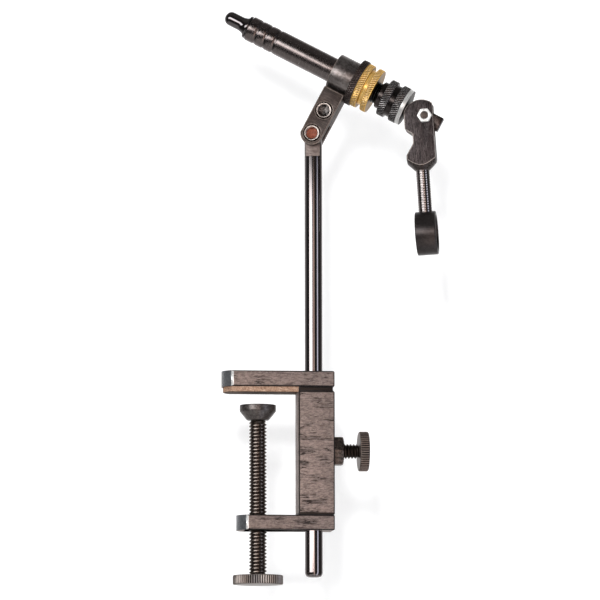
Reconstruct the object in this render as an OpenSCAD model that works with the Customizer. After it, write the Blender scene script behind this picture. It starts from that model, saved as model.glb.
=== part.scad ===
// A fly tying vise: a table clamp carries a round post, a knuckle tilts on the post,
// and a barrel turns in the knuckle's sleeve. A split collet at the barrel's nose grips
// the hook and is drawn back by a cam lever at the barrel's rear end.
// Z is up and X runs along the clamp's reach, with the jaws towards -X. The origin lies
// on the underside of the jaw pad, on the clamp screw's axis.

/* [Clamp] */
// Depth of the clamp bars, front to back
bar_d = 19; // [16:0.5:26]
// Thickness of the upper jaw
upper_t = 8.4; // [6:0.2:12]
// Thickness of the lower arm
lower_t = 8; // [6:0.2:12]
// Thickness of the jaw pad
pad_t = 2.9; // [1.5:0.1:5]
// Clear height from the pad's face to the lower arm
throat_h = 65.7; // [50:0.5:90]
// Distance from the clamp screw's axis to the post's axis
reach = 30; // [27:0.5:45]
// How far the upper jaw runs out past the clamp screw's axis
upper_over = 19.6; // [14:0.2:30]
// How far the lower arm runs out past the clamp screw's axis
lower_over = 11.6; // [10.5:0.2:20]
// Radius of the rounded ends of both clamp bars
nose_r = 11.7; // [11:0.1:14]
// Width of the column along the reach
column_w = 19.2; // [16:0.2:24]
// How far the column's middle lies behind the post's axis
column_shift = 0.7; // [0:0.1:1.5]
// Height of the relief groove round the column's top
relief_h = 2.5; // [1:0.1:4]
// Depth of the relief groove
relief_in = 0.8; // [0.3:0.1:1.5]
// How far the pad's edge stands back from the jaw's edge
pad_inset = 0.9; // [0.3:0.1:2]

/* [Clamp screw] */
// Outer diameter of the clamp screw's thread
screw_d = 9.4; // [8:0.1:10]
// Gap between the pad and the pressure foot
foot_gap = 6.5; // [1:0.5:20]
// Diameter of the pressure foot's rim
foot_d = 19.4; // [14:0.1:20]
// Height of the pressure foot's rim
foot_rim_h = 3.4; // [1.5:0.1:5]
// Height of the pressure foot's cone
foot_cone_h = 4.8; // [4:0.1:8]
// Diameter at the small end of the pressure foot's cone
foot_neck_d = 11.6; // [10:0.1:12]
// Diameter of the turned tip that carries the foot
tip_d = 6; // [4:0.1:6.6]
// Distance from the lower arm to the clamp knob
screw_below = 23.8; // [10:0.2:40]
// Diameter of the clamp knob
knob_d = 26.9; // [20:0.1:34]
// Thickness of the clamp knob
knob_h = 5; // [4:0.1:9]
// Number of teeth in the clamp knob's straight knurl
knob_teeth = 64; // [24:1:96]

/* [Lock screw] */
// How far the lock screw lies below the pad's face
lock_drop = 31; // [20:0.5:45]
// Outer diameter of the lock screw's thread
lock_d = 7.8; // [5:0.1:9]
// Distance across the flats of the lock screw's nut
nut_af = 14.8; // [12:0.1:16]
// Thickness of the nut
nut_t = 5.3; // [3:0.1:8]
// Bare thread between the nut and the lock knob
lock_bare = 8.6; // [3:0.1:15]
// Diameter of the lock knob
lock_knob_d = 21.3; // [15:0.1:28]
// Thickness of the lock knob
lock_knob_t = 5; // [4:0.1:9]
// Number of teeth in the lock knob's straight knurl
lock_teeth = 52; // [24:1:80]

/* [Post] */
// Diameter of the post
post_d = 9.525; // [8:0.005:10.5]
// Length of post that stands out below the lower arm
post_below = 24.9; // [5:0.1:60]
// Height of the knuckle's pivot above the pad's face
pivot_h = 140; // [90:1:200]
// Thickness of the flat tongue at the post's top
tongue_t = 5.5; // [4:0.1:6.5]
// Distance from the pivot down to the shoulder of the flats
tongue_drop = 12; // [9:0.2:16]

/* [Knuckle] */
// Turn of the whole head about the post, in degrees
head_turn = -12; // [-25:1:25]
// Tilt of the barrel, nose up, in degrees
barrel_tilt = 28; // [0:0.5:40]
// Distance from the pivot to the barrel's axis
barrel_rise = 35.9; // [33:0.1:42]
// Width of the knuckle's cheeks along the barrel
cheek_w = 11.8; // [10:0.1:11.9]
// Thickness of each cheek
cheek_t = 4.45; // [3.8:0.05:6]
// Radius of the cheeks' lower end about the pivot
cheek_end_r = 6.3; // [5.7:0.1:8]
// Distance between the two cheek screws
screw_spacing = 13.8; // [13:0.1:15]
// Shank diameter of the cheek screws
cap_shank_d = 5; // [3:0.1:5.2]
// Head diameter of the cheek screws
cap_head_d = 9.2; // [7.6:0.1:9.4]
// Head height of the cheek screws
cap_head_h = 3.1; // [2:0.1:3.4]
// Distance across the flats of the cheek screws' sockets
cap_socket_af = 5.6; // [3:0.1:6]

/* [Barrel] */
// Outer diameter of the sleeve
sleeve_d = 20; // [18.5:0.1:23]
// Length of the sleeve
sleeve_l = 12.3; // [11.3:0.1:16]
// Outer diameter of the barrel ahead of the sleeve
barrel_d = 13.6; // [12.8:0.1:15]
// Distance from the sleeve's middle to the barrel's mouth
barrel_front = 58; // [45:0.5:80]
// Diameter of the barrel's journal and its rear thread
journal_d = 11.9; // [11:0.1:12.4]
// Number of grooves near the barrel's mouth
groove_count = 3; // [1:1:5]
// Distance from groove to groove
groove_step = 5.5; // [3:0.1:7]
// Width of each groove
groove_w = 1.6; // [0.6:0.1:2.4]
// Depth of each groove
groove_in = 0.45; // [0.2:0.05:0.9]
// Diameter of the knurled drag ring
ring_d = 26; // [22:0.1:30]
// Width of the drag ring
ring_w = 3.6; // [2.5:0.1:6]
// Number of teeth in the drag ring's knurl
ring_teeth = 60; // [24:1:80]
// Diameter of the brass lock nut's two flanges
brass_d = 24.9; // [21:0.1:29]
// Width of each brass flange
brass_flange_w = 3.3; // [2:0.1:5]
// Width of the groove between the brass flanges
brass_groove_w = 2.5; // [1:0.1:4]
// Diameter at the bottom of the brass groove
brass_groove_d = 20; // [16:0.1:20.8]
// Number of teeth in the brass knurl
brass_teeth = 60; // [24:1:80]
// Bare thread between the brass nut and the adjusting collar
thread_bare = 2.8; // [2:0.1:6]
// Diameter of the collar's front step
collar_step_d = 15; // [14:0.1:17]
// Width of the collar's front step
collar_step_w = 3; // [1.5:0.1:5]
// Diameter of the collar's knurled bands
collar_d = 20.7; // [19:0.1:24]
// Width of each knurled band
collar_band_w = 4.1; // [2:0.1:5]
// Width of the groove between the bands
collar_groove_w = 3; // [1.5:0.1:5]
// Diameter at the bottom of the collar's groove
collar_groove_d = 17.8; // [15:0.1:18.4]
// Number of teeth in the collar's knurl
collar_teeth = 48; // [24:1:72]
// Diameter of the cam washer
washer_d = 20.2; // [16:0.1:24]
// Thickness of the cam washer
washer_t = 2.3; // [1:0.1:3]

/* [Collet] */
// Diameter of the collet's nose
nose_d = 7.6; // [6:0.1:9]
// Length of the collet ahead of the barrel's mouth
nose_l = 14.9; // [12:0.1:20]
// Diameter of the collet's flange
flange_d = 12.6; // [11:0.1:13]
// Width of the collet's flange
flange_w = 1.1; // [1:0.1:3]
// Gap between the flange and the barrel's mouth
flange_gap = 0.6; // [0.2:0.1:1]
// Gap between the two jaws
slit = 0.6; // [0.3:0.1:1]
// Diameter of the collet's stem inside the barrel
stem_d = 8; // [6.6:0.1:8.4]
// Length of the collet's stem inside the barrel
stem_l = 11; // [8:0.1:16]
// Diameter of the draw bar
draw_d = 5; // [4:0.1:5.4]

/* [Lever] */
// Distance from the sleeve's middle back to the lever's axle
axle_back = 49.7; // [49.6:0.1:50.4]
// Lean of the lever behind the square to the barrel, in degrees
lever_lean = 31.5; // [25:0.5:35]
// Thickness of the lever's block
lever_t = 12.4; // [10:0.1:14]
// Distance from the axle to the block's rear side
lever_rear = 4.4; // [3.4:0.1:5]
// Distance from the axle to the block's front side
lever_front = 11.2; // [10:0.1:13]
// Distance from the axle down to the end of the block
lever_l = 24.9; // [22:0.1:32]
// Depth of the thumb notch in the block's front side
notch_in = 4; // [1:0.1:5]
// Distance from the axle down to the notch's upper corner
notch_top = 6.2; // [5:0.1:8]
// Length of the notch along the block
notch_l = 14.4; // [11:0.1:15]
// Height of the turned cone under the block
shoulder_h = 4; // [2:0.1:7]
// Diameter of the lever's rod
rod_d = 7.4; // [6:0.1:9]
// Length of the rod between the block and the finger ring
rod_l = 22; // [10:0.2:40]
// Outer diameter of the finger ring
finger_d = 23.5; // [18:0.1:30]
// Width of the finger ring along its bore
finger_w = 11.2; // [8:0.1:16]
// Wall of the finger ring
finger_wall = 2.1; // [1.4:0.1:3]
// Eccentricity of the cam
cam_e = 2; // [1:0.1:2.2]
// Diameter of the axle bolt
axle_d = 4; // [3:0.1:4.4]
// Distance across the flats of the axle's nut
axle_nut_af = 7; // [6:0.1:8]
// Thickness of the axle's nut
axle_nut_t = 3.2; // [2:0.1:4]
// Height of the draw bar's flat tongue
bar_tongue_h = 7.7; // [6.4:0.1:8]
// Thickness of the draw bar's flat tongue
bar_tongue_t = 5; // [4:0.1:5.6]
// Length of the tongue behind the axle
bar_tongue_back = 9.2; // [6:0.1:10]

/* [Hidden] */
$fn = 64;

// Overrun of every cut past the face that it opens
cut = 1;
// Radial clearance of a shaft that turns or slides in its hole
run_clear = 0.06;
// Gap between pieces that move past each other
move_gap = 0.3;
// Gap between flat faces that turn on each other
face_gap = 0.1;
// Depth of a straight knurl's teeth
knurl_in = 0.35;
// Chamfer on the rims of knobs, rings and nuts
rim_chamfer = 0.6;
// Step between a knurl's roots and the chamfers beside them
knurl_land = 0.1;
// Chamfer on the post's lower end
post_chamfer = 1.4;

// Heights in the clamp
lower_top = -throat_h;
lower_bottom = lower_top - lower_t;
upper_top = pad_t + upper_t;
column_mid = reach + column_shift;
column_left = column_mid - column_w / 2;
column_right = column_mid + column_w / 2;
knob_top = lower_bottom - screw_below;
foot_bottom = -foot_gap - foot_rim_h - foot_cone_h;
tip_l = foot_cone_h - face_gap;

// Lock screw, measured out from the post's axis
lock_tip = post_d / 2 + face_gap;
nut_out = column_right - reach + nut_t;
lock_knob_in = nut_out + lock_bare;

// Post and knuckle
tongue_top_r = cheek_w / 2;
cheek_in = tongue_t / 2 + run_clear;
cheek_top = barrel_rise - sleeve_d / 2 - face_gap;
head_proud = 0.4;

// Stations along the barrel, measured back from the sleeve's middle
collar_wall = 1.7;
collar_travel = 1.3;
sleeve_end = sleeve_l / 2;
ring_start = sleeve_end + face_gap;
brass_start = ring_start + ring_w + face_gap;
brass_w = 2 * brass_flange_w + brass_groove_w;
collar_start = brass_start + brass_w + thread_bare;
collar_w = collar_step_w + 2 * collar_band_w + collar_groove_w;
washer_start = collar_start + collar_w;
washer_end = washer_start + washer_t;
barrel_rear = washer_start - collar_wall - collar_travel - move_gap;

// Cam: an eccentric circle whose centre leads the contact by half the swing
cam_lead = 50;
cam_gap = 0.25;
cam_reach = axle_back - washer_end - cam_gap;
cam_r = cam_reach - cam_e * cos(cam_lead);
cam_turn = lever_lean - cam_lead;
lever_swing = 75;
draw_stroke = cam_reach - cam_r - cam_e * cos(cam_lead + lever_swing);

// Draw bar and collet
tongue_start = washer_end + draw_stroke + move_gap;
tongue_end = axle_back + bar_tongue_back;
slot_deep = norm([bar_tongue_back, bar_tongue_h / 2]) + move_gap;
seat_x = -barrel_front + stem_l + move_gap;
seat_l = 3;
socket_d = stem_d + 4 * move_gap;
socket_l = stem_l + seat_l + 2 * move_gap;
cone_d = stem_d + 2;
cone_l = 2;
jaw_bore_d = 3;
tip_round_l = 3.5;
flare_d = 10;
flare_l = 4;
lip_gap = 0.3;

// Lever
rod_x = (lever_rear - lever_front) / 2;
lever_w = lever_rear + lever_front;
cone_slope = (lever_w - rod_d) / 2 / shoulder_h;
cone_h = (lever_w - rod_d / 2) / cone_slope;
ring_mid = lever_l + shoulder_h + rod_l + finger_d / 2;
stub_d = 5;
stub_l = 6;
axle_head_d = 7;
axle_head_h = 2.4;
axle_end = 0.4;
notch_slope_share = 0.22;

// The head's own frame: X back along the barrel, Y into the picture, at the pivot
module at_pivot() {
    translate([reach, 0, pivot_h])
        rotate([0, 0, head_turn])
            rotate([0, barrel_tilt, 0])
                children();
}

// The same frame at the sleeve's middle, on the barrel's axis
module at_barrel() {
    at_pivot()
        translate([0, 0, barrel_rise])
            children();
}

// The lever's frame: its block hangs along -Z from the axle
module at_lever() {
    at_barrel()
        translate([axle_back, 0, 0])
            rotate([0, -lever_lean, 0])
                children();
}

// Turns a shape's own Z along X, from station x onwards
module along_x(x) {
    translate([x, 0, 0])
        rotate([0, 90, 0])
            children();
}

// Turns a shape's own Z along Y, from station y onwards
module along_y(y) {
    translate([0, y, 0])
        rotate([-90, 0, 0])
            children();
}

// A disc with straight teeth round its edge and a chamfered rim at both faces
module knurled(d, h, teeth) {
    root_r = d / 2 - knurl_in;
    land_r = root_r - knurl_land;
    rim_r = land_r - rim_chamfer;
    step = 180 / teeth;
    outline = [for (i = [0 : 2 * teeth - 1])
        (i % 2 == 0 ? d / 2 : root_r) * [cos(i * step), sin(i * step)]];
    union() {
        cylinder(h = rim_chamfer, r1 = rim_r, r2 = land_r);
        cylinder(h = h, r = rim_r);
        translate([0, 0, rim_chamfer])
            linear_extrude(h - 2 * rim_chamfer)
                polygon(outline);
        translate([0, 0, h - rim_chamfer])
            cylinder(h = rim_chamfer, r1 = land_r, r2 = rim_r);
    }
}

// Plan of a clamp bar: square at the column and rounded at the free end
module bar_plan(over, inset, x_end) {
    left = -over + inset;
    half = bar_d / 2 - inset;
    round_r = nose_r - inset;
    intersection() {
        translate([left, -half])
            square([x_end - left, 2 * half]);
        union() {
            translate([left + round_r, 0])
                circle(r = round_r);
            translate([left + round_r, -half])
                square([x_end - left - round_r, 2 * half]);
        }
    }
}

// Hole through a clamp bar for the post
module post_hole(z, h) {
    translate([reach, 0, z - cut])
        cylinder(h = h + 2 * cut, r = post_d / 2 + run_clear);
}

// Clamp bars

module upper_jaw() {
    color("#4a4240")
        difference() {
            translate([0, 0, pad_t])
                linear_extrude(upper_t)
                    bar_plan(upper_over, 0, column_right);
            post_hole(pad_t, upper_t);
        }
}

module jaw_pad() {
    color("#b98d62")
        linear_extrude(pad_t)
            bar_plan(upper_over, pad_inset, column_left);
}

module clamp_column() {
    body_h = throat_h + pad_t - relief_h;
    color("#4a4240")
        difference() {
            union() {
                translate([column_left, -bar_d / 2, lower_top])
                    cube([column_w, bar_d, body_h]);
                translate([column_left, relief_in - bar_d / 2, lower_top])
                    cube([column_w - relief_in, bar_d - 2 * relief_in, throat_h + pad_t]);
            }
            post_hole(lower_top, throat_h + pad_t);
            translate([reach, 0, -lock_drop])
                along_x(0)
                    cylinder(h = column_w, r = lock_d / 2 + run_clear);
        }
}

module lower_arm() {
    color("#4a4240")
        difference() {
            translate([0, 0, lower_bottom])
                linear_extrude(lower_t)
                    bar_plan(lower_over, 0, column_right);
            post_hole(lower_bottom, lower_t);
            translate([0, 0, lower_bottom - cut])
                cylinder(h = lower_t + 2 * cut, r = screw_d / 2 + run_clear);
        }
}

// Lock screw

module lock_nut() {
    hex_r = nut_af / sqrt(3);
    color("#3a3838")
        translate([reach, 0, -lock_drop])
            along_x(nut_out - nut_t)
                difference() {
                    intersection() {
                        rotate([0, 0, 30])
                            cylinder(h = nut_t, r = hex_r, $fn = 6);
                        union() {
                            cylinder(h = nut_t - rim_chamfer, r = hex_r + cut);
                            translate([0, 0, nut_t - rim_chamfer])
                                cylinder(h = rim_chamfer, r1 = hex_r, r2 = nut_af / 2);
                        }
                    }
                    translate([0, 0, -cut])
                        cylinder(h = nut_t + 2 * cut, r = lock_d / 2 + run_clear);
                }
}

module lock_screw() {
    color("#2e2c2c")
        translate([reach, 0, -lock_drop])
            along_x(lock_tip)
                union() {
                    cylinder(h = rim_chamfer, r1 = lock_d / 2 - rim_chamfer, r2 = lock_d / 2);
                    translate([0, 0, rim_chamfer])
                        cylinder(h = lock_knob_in - lock_tip - rim_chamfer, r = lock_d / 2);
                }
}

module lock_knob() {
    color("#4a4542")
        translate([reach, 0, -lock_drop])
            along_x(lock_knob_in)
                knurled(lock_knob_d, lock_knob_t, lock_teeth);
}

// Clamp screw

module pressure_foot() {
    color("#33302e")
        difference() {
            translate([0, 0, foot_bottom])
                union() {
                    cylinder(h = foot_cone_h, d1 = foot_neck_d, d2 = foot_d);
                    translate([0, 0, foot_cone_h])
                        cylinder(h = foot_rim_h, d = foot_d);
                }
            translate([0, 0, foot_bottom - cut])
                cylinder(h = foot_cone_h + cut, r = tip_d / 2 + run_clear);
        }
}

module clamp_screw() {
    color("#2f2d2c")
        union() {
            translate([0, 0, knob_top])
                cylinder(h = foot_bottom - face_gap - knob_top, d = screw_d);
            translate([0, 0, foot_bottom - face_gap])
                cylinder(h = tip_l + face_gap, d = tip_d);
        }
}

module clamp_knob() {
    color("#5a544e")
        translate([0, 0, knob_top - knob_h])
            knurled(knob_d, knob_h, knob_teeth);
}

// Post

module post() {
    post_bottom = lower_bottom - post_below;
    shoulder = pivot_h - tongue_drop;
    post_top = pivot_h + tongue_top_r;
    color("#3c3a40")
        translate([reach, 0, 0])
            rotate([0, 0, head_turn])
                difference() {
                    intersection() {
                        union() {
                            translate([0, 0, post_bottom])
                                cylinder(h = post_chamfer, d1 = post_d - 2 * post_chamfer, d2 = post_d);
                            translate([0, 0, post_bottom + post_chamfer])
                                cylinder(h = post_top - post_bottom - post_chamfer, d = post_d);
                        }
                        union() {
                            translate([0, 0, pivot_h])
                                along_y(-post_d)
                                    cylinder(h = 2 * post_d, r = tongue_top_r);
                            translate([-post_d, -post_d, post_bottom - cut])
                                cube([2 * post_d, 2 * post_d, pivot_h - post_bottom + cut]);
                        }
                    }
                    for (side = [-1, 1])
                        translate([-post_d, side > 0 ? tongue_t / 2 : -tongue_t / 2 - post_d, shoulder])
                            cube([2 * post_d, post_d, post_top - shoulder + cut]);
                    translate([0, 0, pivot_h])
                        along_y(-post_d)
                            cylinder(h = 2 * post_d, r = cap_shank_d / 2 + run_clear);
                }
}

// Knuckle

// One cheek's outline as a slab from station y
module cheek_slab(y) {
    difference() {
        intersection() {
            union() {
                along_y(y)
                    cylinder(h = cheek_t, r = cheek_end_r);
                translate([-cheek_w / 2, y, 0])
                    cube([cheek_w, cheek_t, cheek_top]);
            }
            translate([-cheek_w / 2, y - cut, -cheek_end_r - cut])
                cube([cheek_w, cheek_t + 2 * cut, cheek_top + cheek_end_r + 2 * cut]);
        }
        for (z = [0, screw_spacing])
            translate([0, 0, z])
                along_y(y - cut)
                    cylinder(h = cheek_t + 2 * cut, d = cap_shank_d);
    }
}

module front_cheek() {
    color("#4b4745")
        at_pivot()
            difference() {
                cheek_slab(-cheek_in - cheek_t);
                for (z = [0, screw_spacing])
                    translate([0, 0, z])
                        along_y(-cheek_in - cheek_t - cut)
                            cylinder(h = cap_head_h - head_proud + cut, r = cap_head_d / 2 + run_clear);
            }
}

module rear_cheek() {
    color("#4b4745")
        at_pivot()
            cheek_slab(cheek_in);
}

// A socket head screw across both cheeks, at height z above the pivot
module cap_screw(z) {
    head_y = -cheek_in - cheek_t - head_proud;
    translate([0, 0, z])
        difference() {
            union() {
                along_y(head_y)
                    cylinder(h = cap_head_h, d = cap_head_d);
                along_y(head_y)
                    cylinder(h = 2 * (cheek_in + cheek_t) + head_proud, d = cap_shank_d);
            }
            along_y(head_y - cut)
                cylinder(h = cap_head_h - rim_chamfer + cut, d = cap_socket_af * 2 / sqrt(3), $fn = 6);
        }
}

module pivot_screw() {
    color("#8a5a42")
        at_pivot()
            cap_screw(0);
}

module cheek_screw() {
    color("#55504d")
        at_pivot()
            cap_screw(screw_spacing);
}

module barrel_sleeve() {
    lug_bottom = screw_spacing - cheek_w / 2 + head_proud;
    color("#8a8684")
        difference() {
            union() {
                at_barrel()
                    along_x(-sleeve_end)
                        cylinder(h = sleeve_l, d = sleeve_d);
                at_pivot()
                    translate([-cheek_w / 2, -cheek_in, lug_bottom])
                        cube([cheek_w, 2 * cheek_in, barrel_rise - lug_bottom]);
            }
            at_barrel()
                along_x(-sleeve_end - cut)
                    cylinder(h = sleeve_l + 2 * cut, r = journal_d / 2 + run_clear);
            at_pivot()
                translate([0, 0, screw_spacing])
                    along_y(-cheek_in - cut)
                        cylinder(h = 2 * (cheek_in + cut), d = cap_shank_d);
        }
}

// Barrel

module barrel_tube() {
    front_r = barrel_d / 2;
    front_l = barrel_front - sleeve_end - face_gap;
    // Each groove is a shallow V in the outline, counted back from the mouth
    grooves = [for (i = [1 : groove_count]) for (p = [[-1, 0], [0, 1], [1, 0]])
        [front_r - p[1] * groove_in, i * groove_step + p[0] * groove_w / 2]];
    outline = concat([[0, 0], [front_r - rim_chamfer, 0], [front_r, rim_chamfer]], grooves,
        [[front_r, front_l], [journal_d / 2, front_l],
         [journal_d / 2, barrel_front + barrel_rear], [0, barrel_front + barrel_rear]]);
    color("#3a3838")
        at_barrel()
            along_x(-barrel_front)
                difference() {
                    rotate_extrude()
                        polygon(outline);
                    translate([0, 0, -cut])
                        cylinder(h = barrel_front + barrel_rear + 2 * cut, r = draw_d / 2 + run_clear);
                    translate([0, 0, -cut])
                        cylinder(h = socket_l + cut, d = socket_d);
                    cylinder(h = cone_l + move_gap, d1 = cone_d + 4 * move_gap, d2 = socket_d);
                }
}

module drag_ring() {
    color("#353131")
        at_barrel()
            along_x(ring_start)
                difference() {
                    knurled(ring_d, ring_w, ring_teeth);
                    translate([0, 0, -cut])
                        cylinder(h = ring_w + 2 * cut, d = journal_d);
                }
}

module brass_nut() {
    color("#c8983c")
        at_barrel()
            along_x(brass_start)
                difference() {
                    union() {
                        knurled(brass_d, brass_flange_w, brass_teeth);
                        cylinder(h = brass_w, d = brass_groove_d);
                        translate([0, 0, brass_flange_w + brass_groove_w])
                            knurled(brass_d, brass_flange_w, brass_teeth);
                    }
                    translate([0, 0, -cut])
                        cylinder(h = brass_w + 2 * cut, r = journal_d / 2 + run_clear);
                }
}

module adjust_collar() {
    band_2 = collar_step_w + collar_band_w + collar_groove_w;
    color("#2f2d2d")
        at_barrel()
            along_x(collar_start)
                difference() {
                    union() {
                        cylinder(h = collar_step_w, d = collar_step_d);
                        translate([0, 0, collar_step_w])
                            knurled(collar_d, collar_band_w, collar_teeth);
                        translate([0, 0, collar_step_w])
                            cylinder(h = collar_band_w + collar_groove_w, d = collar_groove_d);
                        translate([0, 0, band_2])
                            knurled(collar_d, collar_band_w, collar_teeth);
                    }
                    translate([0, 0, -cut])
                        cylinder(h = collar_w - collar_wall + cut, r = journal_d / 2 + run_clear);
                    cylinder(h = collar_w + cut, r = draw_d / 2 + move_gap);
                }
}

module cam_washer() {
    color("#c9c9c9")
        at_barrel()
            along_x(washer_start)
                difference() {
                    cylinder(h = washer_t, d = washer_d);
                    translate([0, 0, -cut])
                        cylinder(h = washer_t + 2 * cut, r = draw_d / 2 + move_gap);
                }
}

// Draw bar and collet

module draw_bar() {
    color("#3b3939")
        at_barrel()
            difference() {
                union() {
                    along_x(seat_x)
                        cylinder(h = seat_l, d = stem_d);
                    along_x(seat_x)
                        cylinder(h = tongue_start + move_gap - seat_x, d = draw_d);
                    translate([tongue_start, -bar_tongue_t / 2, -bar_tongue_h / 2])
                        cube([tongue_end - tongue_start, bar_tongue_t, bar_tongue_h]);
                }
                translate([axle_back, 0, 0])
                    along_y(-bar_tongue_t)
                        cylinder(h = 2 * bar_tongue_t, r = axle_d / 2 + run_clear);
            }
}

// The collet before it is split: its outline runs out from inside the barrel to the tip
module collet_blank() {
    nose_r = nose_d / 2;
    flare_foot = flange_gap + flange_w + lip_gap;
    flare = [for (t = [0 : 0.25 : 1])
        [nose_r + (flare_d / 2 - nose_r) * pow(1 - t, 2), flare_foot + flare_l * t]];
    round_tip = [for (a = [0 : 15 : 90])
        [nose_r * cos(a), nose_l - tip_round_l * (1 - sin(a))]];
    outline = concat([[0, -stem_l], [stem_d / 2, -stem_l], [stem_d / 2, -cone_l],
        [cone_d / 2, 0], [cone_d / 2, flange_gap], [flange_d / 2, flange_gap],
        [flange_d / 2, flange_gap + flange_w], [flare_d / 2, flange_gap + flange_w]],
        flare, round_tip);
    difference() {
        rotate_extrude()
            polygon(outline);
        translate([0, 0, -stem_l - cut])
            cylinder(h = stem_l + nose_l / 2 + cut, d = jaw_bore_d);
    }
}

// One half of the collet, on the side of the slit that side gives as -1 or 1
module jaw(side) {
    half = flange_d;
    at_barrel()
        intersection() {
            translate([-barrel_front, 0, 0])
                rotate([0, -90, 0])
                    collet_blank();
            translate([-barrel_front - nose_l - cut, side > 0 ? slit / 2 : -slit / 2 - half, -half])
                cube([nose_l + stem_l + 2 * cut, half, 2 * half]);
        }
}

module near_jaw() {
    color("#232323")
        jaw(-1);
}

module far_jaw() {
    color("#232323")
        jaw(1);
}

// Cam lever

module cam_lever() {
    slope = notch_slope_share * notch_l;
    block_end = -lever_l - shoulder_h;
    outline = [[lever_rear, cam_reach], [lever_rear, block_end], [-lever_front, block_end],
        [-lever_front, -notch_top - notch_l],
        [notch_in - lever_front, slope * 2 - notch_top - notch_l],
        [notch_in - lever_front, -notch_top - slope],
        [-lever_front, -notch_top], [-lever_front, cam_reach]];
    color("#4a4643")
        at_lever()
            difference() {
                intersection() {
                    along_y(-lever_t / 2)
                        linear_extrude(lever_t)
                            mirror([0, 1])
                                polygon(outline);
                    union() {
                        translate(cam_e * [-cos(cam_turn), 0, sin(cam_turn)])
                            along_y(-lever_t)
                                cylinder(h = 2 * lever_t, r = cam_r);
                        translate([-lever_w, -lever_t, block_end - cut])
                            cube([2 * lever_w, 2 * lever_t, -block_end + cut - cam_e]);
                    }
                    translate([rod_x, 0, block_end])
                        union() {
                            cylinder(h = cone_h, r1 = rod_d / 2, r2 = lever_w);
                            translate([0, 0, cone_h - cut])
                                cylinder(h = lever_l + cam_reach, r = lever_w);
                        }
                }
                translate([-lever_front - cut, -bar_tongue_t / 2 - move_gap, -slot_deep])
                    cube([lever_w + 2 * cut, bar_tongue_t + 2 * move_gap, slot_deep + cam_reach]);
                along_y(-lever_t)
                    cylinder(h = 2 * lever_t, d = axle_d);
                translate([rod_x, 0, block_end - cut])
                    cylinder(h = stub_l + cut, d = stub_d);
            }
}

module axle_bolt() {
    front_y = -lever_t / 2 - axle_nut_t - axle_end;
    color("#3a3636")
        at_lever()
            union() {
                along_y(front_y)
                    cylinder(h = lever_t / 2 - front_y, d = axle_d);
                along_y(lever_t / 2)
                    cylinder(h = axle_head_h, d1 = axle_head_d, d2 = axle_head_d - 2 * rim_chamfer);
            }
}

module axle_nut() {
    hex_r = axle_nut_af / sqrt(3);
    color("#e2e2de")
        at_lever()
            along_y(-lever_t / 2 - axle_nut_t)
                difference() {
                    cylinder(h = axle_nut_t, r = hex_r, $fn = 6);
                    translate([0, 0, -cut])
                        cylinder(h = axle_nut_t + 2 * cut, d = axle_d);
                }
}

module lever_rod() {
    color("#1e1e1e")
        at_lever()
            translate([rod_x, 0, 0])
                union() {
                    difference() {
                        translate([0, 0, -ring_mid])
                            cylinder(h = ring_mid - lever_l - shoulder_h, d = rod_d);
                        translate([0, 0, -ring_mid])
                            along_x(-rod_d)
                                cylinder(h = 2 * rod_d, d = finger_d);
                    }
                    translate([0, 0, -ring_mid + finger_d / 2 - finger_wall / 2])
                        cylinder(h = rod_l + finger_wall / 2 + stub_l, d = stub_d);
                }
}

module finger_ring() {
    bore_r = finger_d / 2 - finger_wall;
    color("#262524")
        at_lever()
            translate([rod_x, 0, -ring_mid])
                difference() {
                    along_x(-finger_w / 2)
                        union() {
                            cylinder(h = rim_chamfer, d1 = finger_d - 2 * rim_chamfer, d2 = finger_d);
                            translate([0, 0, rim_chamfer])
                                cylinder(h = finger_w - 2 * rim_chamfer, d = finger_d);
                            translate([0, 0, finger_w - rim_chamfer])
                                cylinder(h = rim_chamfer, d1 = finger_d, d2 = finger_d - 2 * rim_chamfer);
                        }
                    along_x(-finger_w / 2 - cut)
                        cylinder(h = finger_w + 2 * cut, r = bore_r);
                    translate([0, 0, finger_d / 2 - finger_wall / 2])
                        cylinder(h = finger_wall, d = stub_d);
                }
}

upper_jaw();
jaw_pad();
clamp_column();
lower_arm();
lock_nut();
lock_screw();
lock_knob();
pressure_foot();
clamp_screw();
clamp_knob();
post();
front_cheek();
rear_cheek();
pivot_screw();
cheek_screw();
barrel_sleeve();
barrel_tube();
drag_ring();
brass_nut();
adjust_collar();
cam_washer();
draw_bar();
near_jaw();
far_jaw();
cam_lever();
axle_bolt();
axle_nut();
lever_rod();
finger_ring();
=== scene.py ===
"""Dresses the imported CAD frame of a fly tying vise: threads, knurls, worn edges and metal finishes.

Every size is in millimetres in the classes below and turned into metres where a mesh is made.
The head has its own frame, X back along the barrel, and the lever another, Z up its block.
"""

import logging
import math
from dataclasses import dataclass
from enum import Enum
from typing import Any, Callable, Sequence

import bmesh
import bpy
from mathutils import Matrix, Vector


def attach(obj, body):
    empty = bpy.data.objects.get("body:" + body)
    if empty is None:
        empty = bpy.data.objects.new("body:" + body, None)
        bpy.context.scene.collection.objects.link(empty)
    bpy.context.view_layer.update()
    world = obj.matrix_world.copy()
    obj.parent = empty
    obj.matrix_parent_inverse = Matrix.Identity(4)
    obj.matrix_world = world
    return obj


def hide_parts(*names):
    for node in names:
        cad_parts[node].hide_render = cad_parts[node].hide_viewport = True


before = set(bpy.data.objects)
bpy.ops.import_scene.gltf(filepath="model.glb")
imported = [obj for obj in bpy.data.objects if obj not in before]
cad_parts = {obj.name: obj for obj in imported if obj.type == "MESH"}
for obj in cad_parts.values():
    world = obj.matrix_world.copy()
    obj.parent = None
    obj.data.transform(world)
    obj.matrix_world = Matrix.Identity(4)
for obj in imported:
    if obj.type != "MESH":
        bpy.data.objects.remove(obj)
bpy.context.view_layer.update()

log = logging.getLogger("vise")
MM = 0.001
FULL_TURN = 2 * math.pi
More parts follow.
